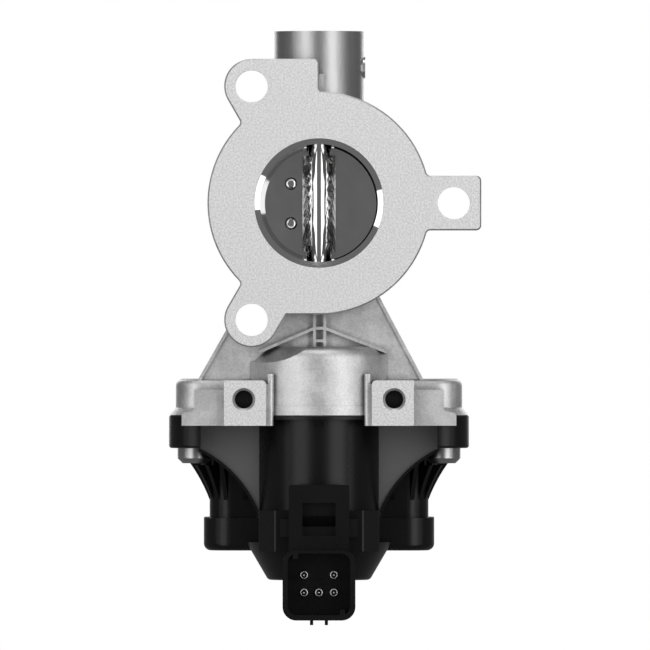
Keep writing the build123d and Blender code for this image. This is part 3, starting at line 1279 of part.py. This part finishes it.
NODES = [
    valve_body, neck_side_plug, neck_plug, seat_ring, upper_bush, lower_bush, shaft_seal, outlet_seal,
    flap_shaft, flap_plate, flap_backing, flap_rivets, shaft_welds,
    motor_pinion, idler_wheel, idler_pinion, idler_pin, sector_gear, sector_clip, position_magnet,
    return_spring, motor_can, motor_end_plate, motor_bearings, motor_shaft, armature, commutator,
    motor_magnets, brushes, brush_holder, motor_blades, wave_washer,
    actuator_housing, housing_gasket, bolt_sleeves, housing_bolts, sensor_board,
    bottom_cover, cover_seal, terminal_pins,
]

os.makedirs("parts", exist_ok=True)
for node in NODES:
    export_step(node(), f"parts/{node.__name__}.step")
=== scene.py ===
import math

import bmesh
import bpy
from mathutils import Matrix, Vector


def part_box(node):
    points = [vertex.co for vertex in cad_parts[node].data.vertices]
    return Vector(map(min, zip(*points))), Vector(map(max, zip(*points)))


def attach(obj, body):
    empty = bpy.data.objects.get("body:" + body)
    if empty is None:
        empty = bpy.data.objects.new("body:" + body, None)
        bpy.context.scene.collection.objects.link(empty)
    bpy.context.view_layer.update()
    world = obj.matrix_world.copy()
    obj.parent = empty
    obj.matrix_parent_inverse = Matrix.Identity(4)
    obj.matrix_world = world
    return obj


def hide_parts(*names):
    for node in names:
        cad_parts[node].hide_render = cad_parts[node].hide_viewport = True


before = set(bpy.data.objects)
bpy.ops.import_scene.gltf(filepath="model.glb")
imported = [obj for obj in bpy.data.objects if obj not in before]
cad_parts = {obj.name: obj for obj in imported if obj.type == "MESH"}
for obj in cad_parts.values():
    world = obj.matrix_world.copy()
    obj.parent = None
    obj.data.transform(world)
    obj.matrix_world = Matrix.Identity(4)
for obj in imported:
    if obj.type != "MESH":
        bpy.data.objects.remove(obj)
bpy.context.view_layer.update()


# The valve body is one aluminium die casting. Its flange face and bracket pads are
# blasted flat and show a fine grain, its neck is turned, and the dome, gusset and case
# keep their cast skin, with soft blotches. Painted shade darkens its corners and the insides of the pad
# holes.

class Reading:
    """A value in a node tree that works in sums like a plain number."""

    def __init__(self, nodes, socket):
        self.nodes = nodes
        self.socket = socket

    def _sum(self, operation, left, right=0.0):
        return self.nodes.node("ShaderNodeMath", {"operation": operation}, {0: left, 1: right})

    def __add__(self, other):
        return self._sum("ADD", self, other)

    __radd__ = __add__

    def __mul__(self, other):
        return self._sum("MULTIPLY", self, other)

    __rmul__ = __mul__

    def __sub__(self, other):
        return self._sum("SUBTRACT", self, other)

    def __rsub__(self, other):
        return self._sum("SUBTRACT", other, self)

    def __abs__(self):
        return self._sum("ABSOLUTE", self)

    def __lt__(self, other):
        return self._sum("LESS_THAN", self, other)

    def __gt__(self, other):
        return self._sum("GREATER_THAN", self, other)

    def between(self, low, high):
        """Soft step from 0 below low to 1 above high."""
        return self.nodes.node(
            "ShaderNodeMapRange",
            {"interpolation_type": "SMOOTHSTEP"},
            {"Value": self, "From Min": low, "From Max": high},
        )


class Nodes:
    """A node tree that is filled through one method."""

    def __init__(self, tree):
        self.tree = tree
        self.tree.nodes.clear()

    def node(self, kind, settings=None, sockets=None, out=0):
        """Adds one node: its settings first, then its sockets. Gives an output, if it has one."""
        made = self.tree.nodes.new(kind)
        for key, value in (settings or {}).items():
            setattr(made, key, value)
        for key, value in (sockets or {}).items():
            self.feed(made.inputs[key], value)
        return Reading(self, made.outputs[out]) if made.outputs else None

    def feed(self, socket, value):
        """Links a reading to a socket, or sets the socket to a constant."""
        if isinstance(value, Reading):
            self.tree.links.new(value.socket, socket)
        else:
            socket.default_value = value


def grey(shade):
    """A linear grey or colour as four numbers."""
    if isinstance(shade, (int, float)):
        shade = (shade, shade, shade)
    return (*shade, 1.0)


class Finish(Nodes):
    """A surface finish: constants sit on the shader, varying values come from nodes."""

    def __init__(self, name, colour, **constants):
        self.material = bpy.data.materials.new(name)
        self.material.use_nodes = True
        super().__init__(self.material.node_tree)
        surface = self.node("ShaderNodeBsdfPrincipled")
        self.node("ShaderNodeOutputMaterial", {}, {"Surface": surface})
        self.shader = surface.socket.node
        self.set("Base Color", grey(colour))
        for key, value in constants.items():
            self.set(key.replace("_", " "), value)

    def set(self, name, value):
        """Feeds one input of the shader."""
        self.feed(self.shader.inputs[name], value)

    def place(self, stretch=(1.0, 1.0, 1.0)):
        """Position on the piece in metres, stretched along its axes."""
        here = self.node("ShaderNodeTexCoord", out="Object")
        return self.node("ShaderNodeVectorMath", {"operation": "MULTIPLY"}, {0: here, 1: stretch})

    def along(self, axis):
        """One coordinate of the position in metres."""
        return self.node("ShaderNodeSeparateXYZ", {}, {0: self.place()}, out=axis)

    def looks_ahead(self, least=0.97):
        """1 on faces that look to the front. A least of 1 would be exactly straight ahead."""
        face = self.node("ShaderNodeNewGeometry", out="True Normal")
        return self.node("ShaderNodeSeparateXYZ", {}, {0: face}, out="Y") < -least

    def grain(self, size, detail=2.0, stretch=(1.0, 1.0, 1.0), roughness=0.5):
        """Cloudy noise whose clouds are about size metres across."""
        return self.node(
            "ShaderNodeTexNoise",
            {},
            {"Vector": self.place(stretch), "Scale": 1.0 / size, "Detail": detail, "Roughness": roughness},
        )

    def tint(self, amount, dark, light):
        """Colour between two greys or colours by an amount from 0 to 1."""
        factor, colour_a, colour_b, mixed = 0, 6, 7, 2
        return self.node(
            "ShaderNodeMix",
            {"data_type": "RGBA"},
            {factor: amount, colour_a: grey(dark), colour_b: grey(light)},
            out=mixed,
        )

    def bump(self, height, depth, strength):
        """Feeds a height pattern, depth metres deep, to the surface's direction."""
        dent = self.node("ShaderNodeBump", {}, {"Strength": strength, "Distance": depth, "Height": height})
        self.set("Normal", dent)

    def on(self, *names):
        """Puts the finish on CAD nodes."""
        for name in names:
            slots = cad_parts[name].data.materials
            slots.clear()
            slots.append(self.material)


casting = Finish("cast_aluminium", 0.66, Metallic=1.0)
off_middle = abs(casting.along("X"))
back = casting.along("Y")
up = casting.along("Z")

front_skin = 0.0006
dome_top_z, dome_half_x = -0.036, 0.0125
on_dome = (up < dome_top_z) * (off_middle < dome_half_x)
blasted = casting.looks_ahead() * (back < front_skin) * (1.0 - on_dome)

neck_y, neck_reach, neck_foot_z = 0.022, 0.01265, 0.0215
from_neck = off_middle * off_middle + (back - neck_y) * (back - neck_y)
on_neck = (from_neck < neck_reach ** 2) * (up > neck_foot_z)
cast_skin = (1.0 - blasted) * (1.0 - on_neck)

# Inside the pad holes the grey is darkened to near black: painted shade in the deep holes.
hole_x, hole_z, hole_reach = 0.0209, -0.0546, 0.00253
hole_middle_y, hole_half_depth = 0.0064, 0.0059
from_hole_x = off_middle - hole_x
from_hole_z = up - hole_z
in_hole_round = from_hole_x * from_hole_x + from_hole_z * from_hole_z < hole_reach ** 2
in_hole = in_hole_round * (abs(back - hole_middle_y) < hole_half_depth)

speckle = casting.grain(0.0005, detail=2.0, roughness=0.7)
grit = speckle.between(0.36, 0.64) - 0.5
clouds = casting.grain(0.006, detail=4.0, roughness=0.6)
patches = clouds.between(0.38, 0.66)
streaks = casting.grain(0.004, detail=4.0, stretch=(1.0, 1.0, 0.08)).between(0.35, 0.65)

# Ambient occlusion darkens the grey in corners and creases: this is painted shade.
corner_reach = 0.0022
open_air = casting.node(
    "ShaderNodeAmbientOcclusion", {"samples": 6, "only_local": True}, {"Distance": corner_reach}, out="AO"
)
painted_corner_shade = 1.0 - open_air.between(0.30, 0.90)

skin_shade = 0.60 + 0.12 * patches + 0.10 * grit
neck_shade = 0.37 + 0.08 * streaks
blast_shade = 0.87 + 0.20 * grit
unshaded_grey = cast_skin * skin_shade + on_neck * neck_shade + blasted * blast_shade
# The bare grey is darkened by painted shade in the pad holes and in the corners.
grey_with_painted_shade = unshaded_grey * (1.0 - 0.80 * in_hole) * (1.0 - 0.45 * painted_corner_shade)
casting.set("Base Color", casting.tint(grey_with_painted_shade, 0.0, 1.0))
casting.set("Roughness", 0.53 - 0.06 * cast_skin + 0.05 * cast_skin * patches - 0.16 * on_neck)
casting.bump(0.4 * speckle + 1.6 * clouds * cast_skin, depth=0.00022, strength=0.5)
casting.on("valve_body")


# The seat is a polished stainless sleeve pressed into the bore. Behind the flap it is
# painted near black as painted shade. Its front land is turned to a slope, and carries a smooth lip that
# follows the half round.

polished_grey, painted_shade_grey = 0.62, 0.02
polished = Finish("polished_steel", polished_grey, Metallic=1.0)
rub = polished.grain(0.002, detail=2.0, stretch=(1.0, 0.2, 1.0))
flap_low, flap_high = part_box("flap_plate")
shade_overlap = 0.0008
# Behind the flap the steel is painted near black: this is painted shade.
behind_flap = polished.along("Y") > flap_high.y - shade_overlap
polished.set("Base Color", polished.tint(behind_flap, polished_grey, painted_shade_grey))
polished.set("Roughness", 0.03 + 0.04 * rub + 0.5 * behind_flap)
polished.on("seat_ring")


def loft(body, rings):
    """Joins closed rings of points one after another with faces, and caps both ends."""
    width = len(rings[0])
    for one, after in zip(rings, rings[1:]):
        for k in range(width):
            nxt = (k + 1) % width
            body.faces.new((one[k], one[nxt], after[nxt], after[k]))
    body.faces.new(rings[0])
    body.faces.new(rings[-1])


def finish_piece(name, body, finish, slot, carrier, *nodes):
    """Turns a net of faces into a smooth piece that rides on one body."""
    bmesh.ops.recalc_face_normals(body, faces=body.faces)
    for face in body.faces:
        face.smooth = True
    mesh = bpy.data.meshes.new(name)
    body.to_mesh(mesh)
    body.free()
    mesh.materials.append(finish.material)
    piece = bpy.data.objects.new(name, mesh)
    bpy.context.scene.collection.objects.link(piece)
    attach(piece, carrier)
    if nodes:
        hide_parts(*nodes)
    return piece


def land_lip():
    """Sloped half ring on the front land, from the bore down to the land's edge."""
    outer_r, inner_r, rise = 0.01645, 0.01512, 0.0008
    proud, sunk, land_depth = 0.00002, 0.0002, 0.00205
    land_y = flap_low.y - land_depth
    clear_of_shaft = 0.0043
    half_turn = math.acos(clear_of_shaft / inner_r)
    steps = 96
    section = (
        (outer_r, land_y + sunk),
        (outer_r, land_y - rise),
        (inner_r, land_y - proud),
        (inner_r, land_y + sunk),
    )
    body = bmesh.new()
    rings = []
    for i in range(steps + 1):
        angle = math.pi - half_turn + 2 * half_turn * i / steps
        across, upward = math.cos(angle), math.sin(angle)
        rings.append([body.verts.new((r * across, y, r * upward)) for r, y in section])
    loft(body, rings)
    lip = finish_piece("seat_land_lip", body, polished, "polished_steel", "housing")
    lip.data.set_sharp_from_angle(angle=math.radians(30))


land_lip()


# The flap is a plain steel disc with a half plate riveted behind it. Both are dull grey
# from sooty exhaust and only slightly mottled.

flap_steel = Finish("flap_steel", 0.48, Metallic=1.0)
soot = flap_steel.grain(0.005, detail=3.0)
flap_steel.set("Base Color", flap_steel.tint(soot, 0.46, 0.52))
flap_steel.set("Roughness", 0.16 + 0.08 * soot)
flap_steel.on("flap_plate", "flap_backing")


# The flap's shaft is a steel rod, ground bright, with fine streaks along its length. The
# motor's shaft and the idler's pin are ground in the same way.

ground = Finish("turned_steel", 0.6, Metallic=1.0)
lines = ground.grain(0.0008, detail=3.0, stretch=(1.0, 1.0, 0.06))
ground.set("Roughness", 0.03 + 0.06 * lines)
ground.bump(lines, depth=0.00002, strength=0.3)
ground.on("flap_shaft", "idler_pin", "motor_shaft")


# A weld bead down each side of the shaft joins the flap to it. Each is laid in the corner
# between shaft and flap in long overlapping ripples, and stays bright.

weld = Finish("weld_steel", 0.56, Metallic=1.0)
ripples = weld.grain(0.0009, detail=3.0, stretch=(1.0, 1.0, 0.3))
weld.set("Roughness", 0.05 + 0.10 * ripples)
weld.bump(ripples, depth=0.00006, strength=0.4)


def weld_ripple(share, t, side):
    """Long waves and short knots at a place on the bead, each from -1 to 1.

    They turn at different rates along the bead and across it, so that no two places look
    alike.
    """
    wave = math.sin(39.0 * share + 5.0 * t + side) * math.sin(11.0 * t + 23.0 * share)
    bend = 13.0 * math.sin(7.0 * t + side)
    knot = math.sin(97.0 * share + bend) * math.sin(19.0 * t - 31.0 * share)
    return wave, knot


def weld_bead(side):
    """Rippled bead from the shaft's front round to the flap, along the whole shaft."""
    low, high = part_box("shaft_welds")
    shaft_y, shaft_r = 0.022, 0.0035
    foot_x = 0.0046
    front_turn = math.radians(31)
    sunk, rise = 0.0001, 0.0005
    thickness, wave_depth, knot_depth = 0.00034, 0.00011, 0.00005
    end_taper, foot_flare, fullness = 14.0, 4, 0.5
    behind_flap_front = (0.0036, high.y + 0.0002)
    inside_shaft = (0.0014, shaft_y - 0.0026)
    rows, points = 260, 26

    flap_drop = high.y - shaft_y
    foot_turn = math.atan2(foot_x, -flap_drop)
    foot_r = math.hypot(foot_x, flap_drop)
    body = bmesh.new()
    rings = []
    for i in range(rows + 1):
        share = i / rows
        z = low.z + share * (high.z - low.z)
        fade = min(1.0, end_taper * share, end_taper * (1.0 - share))
        ring = []
        for k in range(points):
            t = k / (points - 1)
            turn = front_turn + t * (foot_turn - front_turn)
            swell = math.sin(math.pi * t) ** fullness
            base = shaft_r - sunk + rise * t + (foot_r - shaft_r - rise + sunk) * t ** foot_flare
            wave, knot = weld_ripple(share, t, side)
            r = base + swell * fade * (thickness + wave_depth * wave + knot_depth * knot)
            ring.append(body.verts.new((side * r * math.sin(turn), shaft_y - r * math.cos(turn), z)))
        for x, y in (behind_flap_front, inside_shaft):
            ring.append(body.verts.new((side * x, y, z)))
        rings.append(ring)
    loft(body, rings)
    name = "weld_bead_left" if side < 0 else "weld_bead_right"
    finish_piece(name, body, weld, "weld_steel", "flap", "shaft_welds")


for side in (-1, 1):
    weld_bead(side)


# Two round-headed steel rivets hold the half plate behind the flap. Their heads are
# pressed smooth and bright, with painted shade, near black, where each head curves down to the flap.

rivet_low, rivet_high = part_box("flap_rivets")
head_r = (rivet_high.x - rivet_low.x) / 2
rivet_x = (rivet_high.x + rivet_low.x) / 2
rivet_z = (rivet_high.z - rivet_low.z) / 2 - head_r

rivet_steel = Finish("rivet_steel", 0.5, Metallic=1.0)
smear = rivet_steel.grain(0.0014, detail=2.0)
from_x = rivet_steel.along("X") - rivet_x
from_z = abs(rivet_steel.along("Z")) - rivet_z
# Round each head's rim the steel is painted near black: painted shade where the head meets the flap.
unshaded_r, shaded_r = 0.0010, 0.001304
uneven = 0.0000022
out_from_middle = from_x * from_x + from_z * from_z + uneven * (smear - 0.5)
painted_shade_rim = out_from_middle.between(unshaded_r ** 2, shaded_r ** 2)
rivet_steel.set("Base Color", rivet_steel.tint(painted_shade_rim, 0.62, 0.10))
rivet_steel.set("Roughness", 0.06 + 0.06 * smear)
rivet_steel.bump(smear, depth=0.00003, strength=0.3)


def turned(body, profile, spot, around):
    """Adds a turned form to a net: a profile of radius and Y, spun about a line along Y."""
    rings = []
    for r, y in profile:
        ring = []
        for k in range(around):
            angle = 2 * math.pi * k / around
            ring.append(body.verts.new((spot[0] + r * math.cos(angle), y, spot[1] + r * math.sin(angle))))
        rings.append(ring)
    loft(body, rings)


def rivets():
    """Both rivets, head in front and flat tail behind."""
    middle_z = (rivet_high.z + rivet_low.z) / 2
    head_h = flap_low.y - rivet_low.y
    flat_share, roundness, steps = 0.06, 2.5, 20
    tip_r, shank_r = 0.00006, 0.00098
    tail_h, tail_edge = 0.0007, 0.0002
    profile = [(tip_r, rivet_low.y)]
    for i in range(1, steps + 1):
        share = flat_share + (1.0 - flat_share) * math.sin(math.pi / 2 * i / steps)
        drop = head_h * (1 - (1 - share ** roundness) ** (1 / roundness))
        profile.append((head_r * share, rivet_low.y + drop))
    profile += [(shank_r, flap_low.y), (shank_r, rivet_high.y - tail_h)]
    profile += [(head_r, rivet_high.y - tail_h), (head_r, rivet_high.y - tail_edge)]
    profile.append((head_r - tail_edge, rivet_high.y))
    body = bmesh.new()
    for step in (-1, 1):
        turned(body, profile, (rivet_x, middle_z + step * rivet_z), around=48)
    pair = finish_piece("flap_rivet_pair", body, rivet_steel, "polished_steel", "flap", "flap_rivets")
    pair.data.set_sharp_from_angle(angle=math.radians(45))


rivets()


# The shaft turns in two plain bushes of sintered bronze, one above the bore and one
# below it. The motor's bearings are sintered bronze too.

bronze = Finish("sintered_bronze", (0.5, 0.34, 0.18), Metallic=1.0)
pores = bronze.grain(0.0004, detail=2.0)
bronze.set("Base Color", bronze.tint(pores, (0.34, 0.22, 0.11), (0.60, 0.42, 0.24)))
bronze.set("Roughness", 0.45 + 0.2 * pores)
bronze.on("upper_bush", "lower_bush", "motor_bearings")


# The plugs pressed into the neck, the motor's can and end plate, and the sleeves in the
# housing's flange are steel stampings with a mottled zinc plating.

plated = Finish("zinc_steel", 0.66, Metallic=1.0)
spangle = plated.grain(0.0018, detail=3.0)
plated.set("Base Color", plated.tint(spangle, (0.55, 0.55, 0.56), 0.74))
plated.set("Roughness", 0.22 + 0.16 * spangle)
plated.bump(spangle, depth=0.00005, strength=0.4)
plated.on("neck_plug", "neck_side_plug", "motor_can", "motor_end_plate", "bolt_sleeves")


# Four bolts clamp the housing's flange to the case from below. Their heads are zinc
# plated and a little duller than the stampings.

bolt_zinc = Finish("bolt_zinc", 0.5, Metallic=1.0)
dull = bolt_zinc.grain(0.0018, detail=3.0)
bolt_zinc.set("Base Color", bolt_zinc.tint(dull, 0.34, 0.46))
bolt_zinc.set("Roughness", 0.24 + 0.14 * dull)
bolt_zinc.on("housing_bolts")


# The seals are black rubber with a dusty bloom: a lip seal on the shaft, a ring in the
# spigot's groove, a flat gasket under the case and a bead in the cover's groove.

rubber = Finish("seal_rubber", 0.018, Specular_IOR_Level=0.35)
bloom = rubber.grain(0.0012, detail=3.0)
rubber.set("Base Color", rubber.tint(bloom, 0.012, 0.03))
rubber.set("Roughness", 0.5 + 0.2 * bloom)
rubber.on("shaft_seal", "outlet_seal", "housing_gasket", "cover_seal")


# The gear train is a steel pinion on the motor, a moulded idler wheel on its own steel
# pinion, and a steel sector held on the shaft by a spring clip.

gear_steel = Finish("gear_steel", 0.5, Metallic=1.0)
wear = gear_steel.grain(0.001, detail=3.0)
gear_steel.set("Base Color", gear_steel.tint(wear, (0.40, 0.40, 0.41), 0.58))
gear_steel.set("Roughness", 0.28 + 0.14 * wear)
gear_steel.on("motor_pinion", "idler_pinion", "sector_gear")

natural = Finish("gear_plastic", (0.72, 0.66, 0.52), Roughness=0.45)
flow = natural.grain(0.006, detail=2.0)
natural.set("Base Color", natural.tint(flow, (0.66, 0.60, 0.46), (0.76, 0.71, 0.58)))
natural.on("idler_wheel")


# The return spring round the shaft, the sector's clip and the wave washer under the motor
# are dark spring steel, wound or punched.

spring = Finish("spring_steel", 0.3, Metallic=1.0)
drawn = spring.grain(0.0006, detail=2.0)
spring.set("Base Color", spring.tint(drawn, (0.22, 0.22, 0.23), 0.38))
spring.set("Roughness", 0.25 + 0.15 * drawn)
spring.on("return_spring", "sector_clip", "wave_washer")


# The motor holds dark magnets round a slotted core of stacked sheet, with a copper
# commutator, carbon brushes in a moulded holder and copper blades to the cover. The
# angle sensor's magnet, under the sector's hub, is like the motor's.

magnet = Finish("magnet", 0.05, Metallic=0.3)
sinter = magnet.grain(0.0008, detail=2.0)
magnet.set("Base Color", magnet.tint(sinter, 0.03, 0.08))
magnet.set("Roughness", 0.5 + 0.2 * sinter)
magnet.on("motor_magnets", "position_magnet")

sheets = Finish("laminations", 0.36, Metallic=1.0)
sheets_per_metre = 320.0
stack = sheets.node(
    "ShaderNodeTexWave",
    {"bands_direction": "Z"},
    {"Vector": sheets.place(), "Scale": sheets_per_metre},
    out="Fac",
)
sheets.set("Base Color", sheets.tint(stack, 0.26, 0.40))
sheets.set("Roughness", 0.35 + 0.15 * stack)
sheets.on("armature")

copper = Finish("copper", (0.72, 0.38, 0.22), Metallic=1.0)
tarnish = copper.grain(0.002, detail=3.0)
copper.set("Base Color", copper.tint(tarnish, (0.60, 0.30, 0.17), (0.80, 0.45, 0.28)))
copper.set("Roughness", 0.2 + 0.15 * tarnish)
copper.on("commutator", "motor_blades")

carbon = Finish("carbon", 0.03)
dust = carbon.grain(0.0003, detail=2.0)
carbon.set("Base Color", carbon.tint(dust, 0.02, 0.05))
carbon.set("Roughness", 0.6 + 0.2 * dust)
carbon.on("brushes")

holder = Finish("holder_plastic", 0.09, Roughness=0.5)
cloud = holder.grain(0.003, detail=2.0)
holder.set("Base Color", holder.tint(cloud, 0.07, 0.11))
holder.on("brush_holder")


# The actuator housing and its cover are moulded in black glass-filled plastic, satin
# with a faint grain. The housing's front panels are rougher, and their lighter grey black is partly a matt
# finish and partly a painted reflection of the bright room in front.

def moulding(name):
    """Black satin plastic with a faint grain, and the haze that varies it."""
    finish = Finish(name, 0.004, Specular_IOR_Level=0.22)
    skin = finish.grain(0.0004, detail=2.0)
    finish.bump(skin, depth=0.00002, strength=0.3)
    return finish, finish.grain(0.012, detail=3.0)


black, haze = moulding("black_plastic")
black.set("Base Color", black.tint(haze, 0.003, 0.005))
black.set("Roughness", 0.24 + 0.08 * haze)
black.on("bottom_cover")

panelled, haze = moulding("black_plastic_panelled")
panel_y, panel_skin = 0.017, 0.0004
# The front panels get a lighter grey: partly their matt finish, partly a painted reflection.
on_panel = panelled.looks_ahead() * (abs(panelled.along("Y") - panel_y) < panel_skin)
panelled.set("Base Color", panelled.tint(on_panel, 0.004, 0.090))
panelled.set("Roughness", 0.24 + 0.08 * haze + 0.22 * on_panel)
panelled.on("actuator_housing")


# The sensor board is green solder resist over glass cloth, with the angle sensor on
# it. It is curved, and lies on the floor of the gear room.

resist = Finish("circuit_board", (0.03, 0.16, 0.07), Roughness=0.35)
threads_per_metre = 900.0
cloth = resist.node(
    "ShaderNodeTexBrick", {}, {"Vector": resist.place(), "Scale": threads_per_metre}, out="Fac"
)
resist.set("Base Color", resist.tint(cloth, (0.02, 0.13, 0.05), (0.04, 0.19, 0.09)))
resist.on("sensor_board")


# Five round contact pins stand in the socket. They are tin plated, with a bright rounded
# rim and a small bright mark in the middle. The flat end that faces the front is painted near black as a
# painted dark reflection.

tin = Finish("contact_tin", 0.9, Metallic=1.0)
wipe = tin.grain(0.0007, detail=2.0, stretch=(1.0, 0.2, 1.0))
# The flat end facing the front is painted near black: this is a painted dark reflection.
tin.set("Base Color", tin.tint(tin.looks_ahead(0.985), 0.80, 0.012))
tin.set("Roughness", 0.38 + 0.12 * wipe)


def contact_pins():
    """Five pins in two rows, each with a rounded rim and a small centre mark."""
    low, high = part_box("terminal_pins")
    pin_r, rim_r, rim_steps = 0.00109, 0.00028, 8
    middle_x = (high.x + low.x) / 2
    side_x = (high.x - low.x) / 2 - pin_r
    top_z, bottom_z = high.z - pin_r, low.z + pin_r
    centre_mark = ((0.00003, 0.00010), (0.00009, 0.00006), (0.00017, 0.0))
    profile = [(r, low.y + depth) for r, depth in centre_mark]
    for i in range(rim_steps + 1):
        angle = math.pi / 2 * i / rim_steps
        profile.append((pin_r - rim_r + rim_r * math.sin(angle), low.y + rim_r - rim_r * math.cos(angle)))
    profile.append((pin_r, high.y))
    upper_row = [(step * side_x, top_z) for step in (-1, 1)]
    lower_row = [(step * side_x, bottom_z) for step in (-1, 0, 1)]
    body = bmesh.new()
    for x, z in upper_row + lower_row:
        turned(body, profile, (middle_x + x, z), around=40)
    pins = finish_piece("contact_pin_set", body, tin, "copper", "housing", "terminal_pins")
    pins.data.set_sharp_from_angle(angle=math.radians(40))


contact_pins()


# The studio has a pale paper floor below the valve. A tall box of light stands on each
# side of the camera, with narrow ones at the edges, one overhead and two behind.

floor_half, floor_z = 0.6, -0.138
corners = [(x * floor_half, y * floor_half, 0) for x, y in ((-1, -1), (1, -1), (1, 1), (-1, 1))]
floor_mesh = bpy.data.meshes.new("floor")
floor_mesh.from_pydata(corners, [], [(0, 1, 2, 3)])
floor = bpy.data.objects.new("floor", floor_mesh)
floor.location.z = floor_z
floor.visible_glossy = False
bpy.context.scene.collection.objects.link(floor)

pale = Finish("pale_floor", 0.86, Roughness=0.7)
paper = pale.grain(0.01, detail=3.0)
pale.set("Base Color", pale.tint(paper, 0.84, 0.88))
floor_mesh.materials.append(pale.material)

middle = Vector((0.0, 0.0, -0.034))
watts_per_square_metre = 4.0


def lamp(name, azimuth, height, reach, size, brightness):
    """Soft lamp at an azimuth from the camera, aimed at the middle of the valve."""
    data = bpy.data.lights.new(name, "AREA")
    data.shape = "RECTANGLE"
    data.size, data.size_y = size
    data.energy = watts_per_square_metre * brightness * size[0] * size[1]
    made = bpy.data.objects.new(name, data)
    angle = math.radians(azimuth)
    made.location = (reach * math.sin(angle), -reach * math.cos(angle), height)
    made.rotation_euler = (middle - made.location).to_track_quat("-Z", "Y").to_euler()
    bpy.context.scene.collection.objects.link(made)


lamp("box_left", -34.5, -0.034, 1.3, (0.70, 1.8), 1.6)
lamp("box_right", 34.5, -0.034, 1.3, (0.70, 1.8), 2.0)
lamp("edge_left", -61, 0.11, 1.3, (0.13, 0.70), 1.7)
lamp("edge_right", 61, -0.19, 1.3, (0.13, 0.66), 1.9)
lamp("overhead", 0, 1.3, 0.35, (0.9, 0.6), 2.2)
lamp("back_left", -157, 0.5, 1.3, (0.5, 1.2), 1.8)
lamp("back_right", 157, 0.5, 1.3, (0.5, 1.2), 1.8)


# A closed grey tent stands round the studio. Only reflections see it, so that bright
# metal shows dark between the lamps.

tent_r, tent_height = 1.6, 3.2
tent_shade = Finish(
    "tent_shade", 0.0, Specular_IOR_Level=0.0, Emission_Color=grey(1.0), Emission_Strength=0.2
)
tent_mesh = bpy.data.meshes.new("tent")
tent_net = bmesh.new()
bmesh.ops.create_cone(
    tent_net, cap_ends=True, segments=48, radius1=tent_r, radius2=tent_r, depth=tent_height
)
tent_net.to_mesh(tent_mesh)
tent_net.free()
tent_mesh.materials.append(tent_shade.material)
tent = bpy.data.objects.new("tent", tent_mesh)
bpy.context.scene.collection.objects.link(tent)
tent.visible_camera = False
tent.visible_diffuse = False
tent.visible_shadow = False
tent.visible_transmission = False


# The world gives a soft even light. To the camera it is plain white, and so it is
# behind clear material and in any reflection that the tent doesn't stop.

world = bpy.data.worlds.new("studio")
world.use_nodes = True
bpy.context.scene.world = world
sky = Nodes(world.node_tree)
camera_ray = sky.node("ShaderNodeLightPath", out="Is Camera Ray")
glossy_ray = sky.node("ShaderNodeLightPath", out="Is Glossy Ray")
clear_ray = sky.node("ShaderNodeLightPath", out="Is Transmission Ray")
either_ray = sky.node("ShaderNodeMath", {"operation": "MAXIMUM"}, {0: camera_ray, 1: glossy_ray})
seen = sky.node("ShaderNodeMath", {"operation": "MAXIMUM"}, {0: either_ray, 1: clear_ray})
soft = sky.node("ShaderNodeBackground", {}, {"Color": grey(1.0), "Strength": 0.45})
white = sky.node("ShaderNodeBackground", {}, {"Color": grey(1.0), "Strength": 1.0})
choice = sky.node("ShaderNodeMixShader", {}, {"Fac": seen, 1: soft, 2: white})
sky.node("ShaderNodeOutputWorld", {}, {"Surface": choice})


# The camera stands five metres off with a long lens, level with the valve's middle, as
# the photograph's flat view shows.

view_width = 0.1806
lens, sensor = 1000.0, 36.0
view_x, view_z = 0.00167, -0.0339
camera_data = bpy.data.cameras.new("camera")
camera_data.lens = lens
camera_data.sensor_width = sensor
camera_data.clip_end = 50.0
camera = bpy.data.objects.new("camera", camera_data)
camera.location = (view_x, -view_width * lens / sensor, view_z)
camera.rotation_euler = (math.pi / 2, 0, 0)
bpy.context.scene.collection.objects.link(camera)
bpy.context.scene.camera = camera
bpy.context.scene.view_settings.view_transform = "Standard"
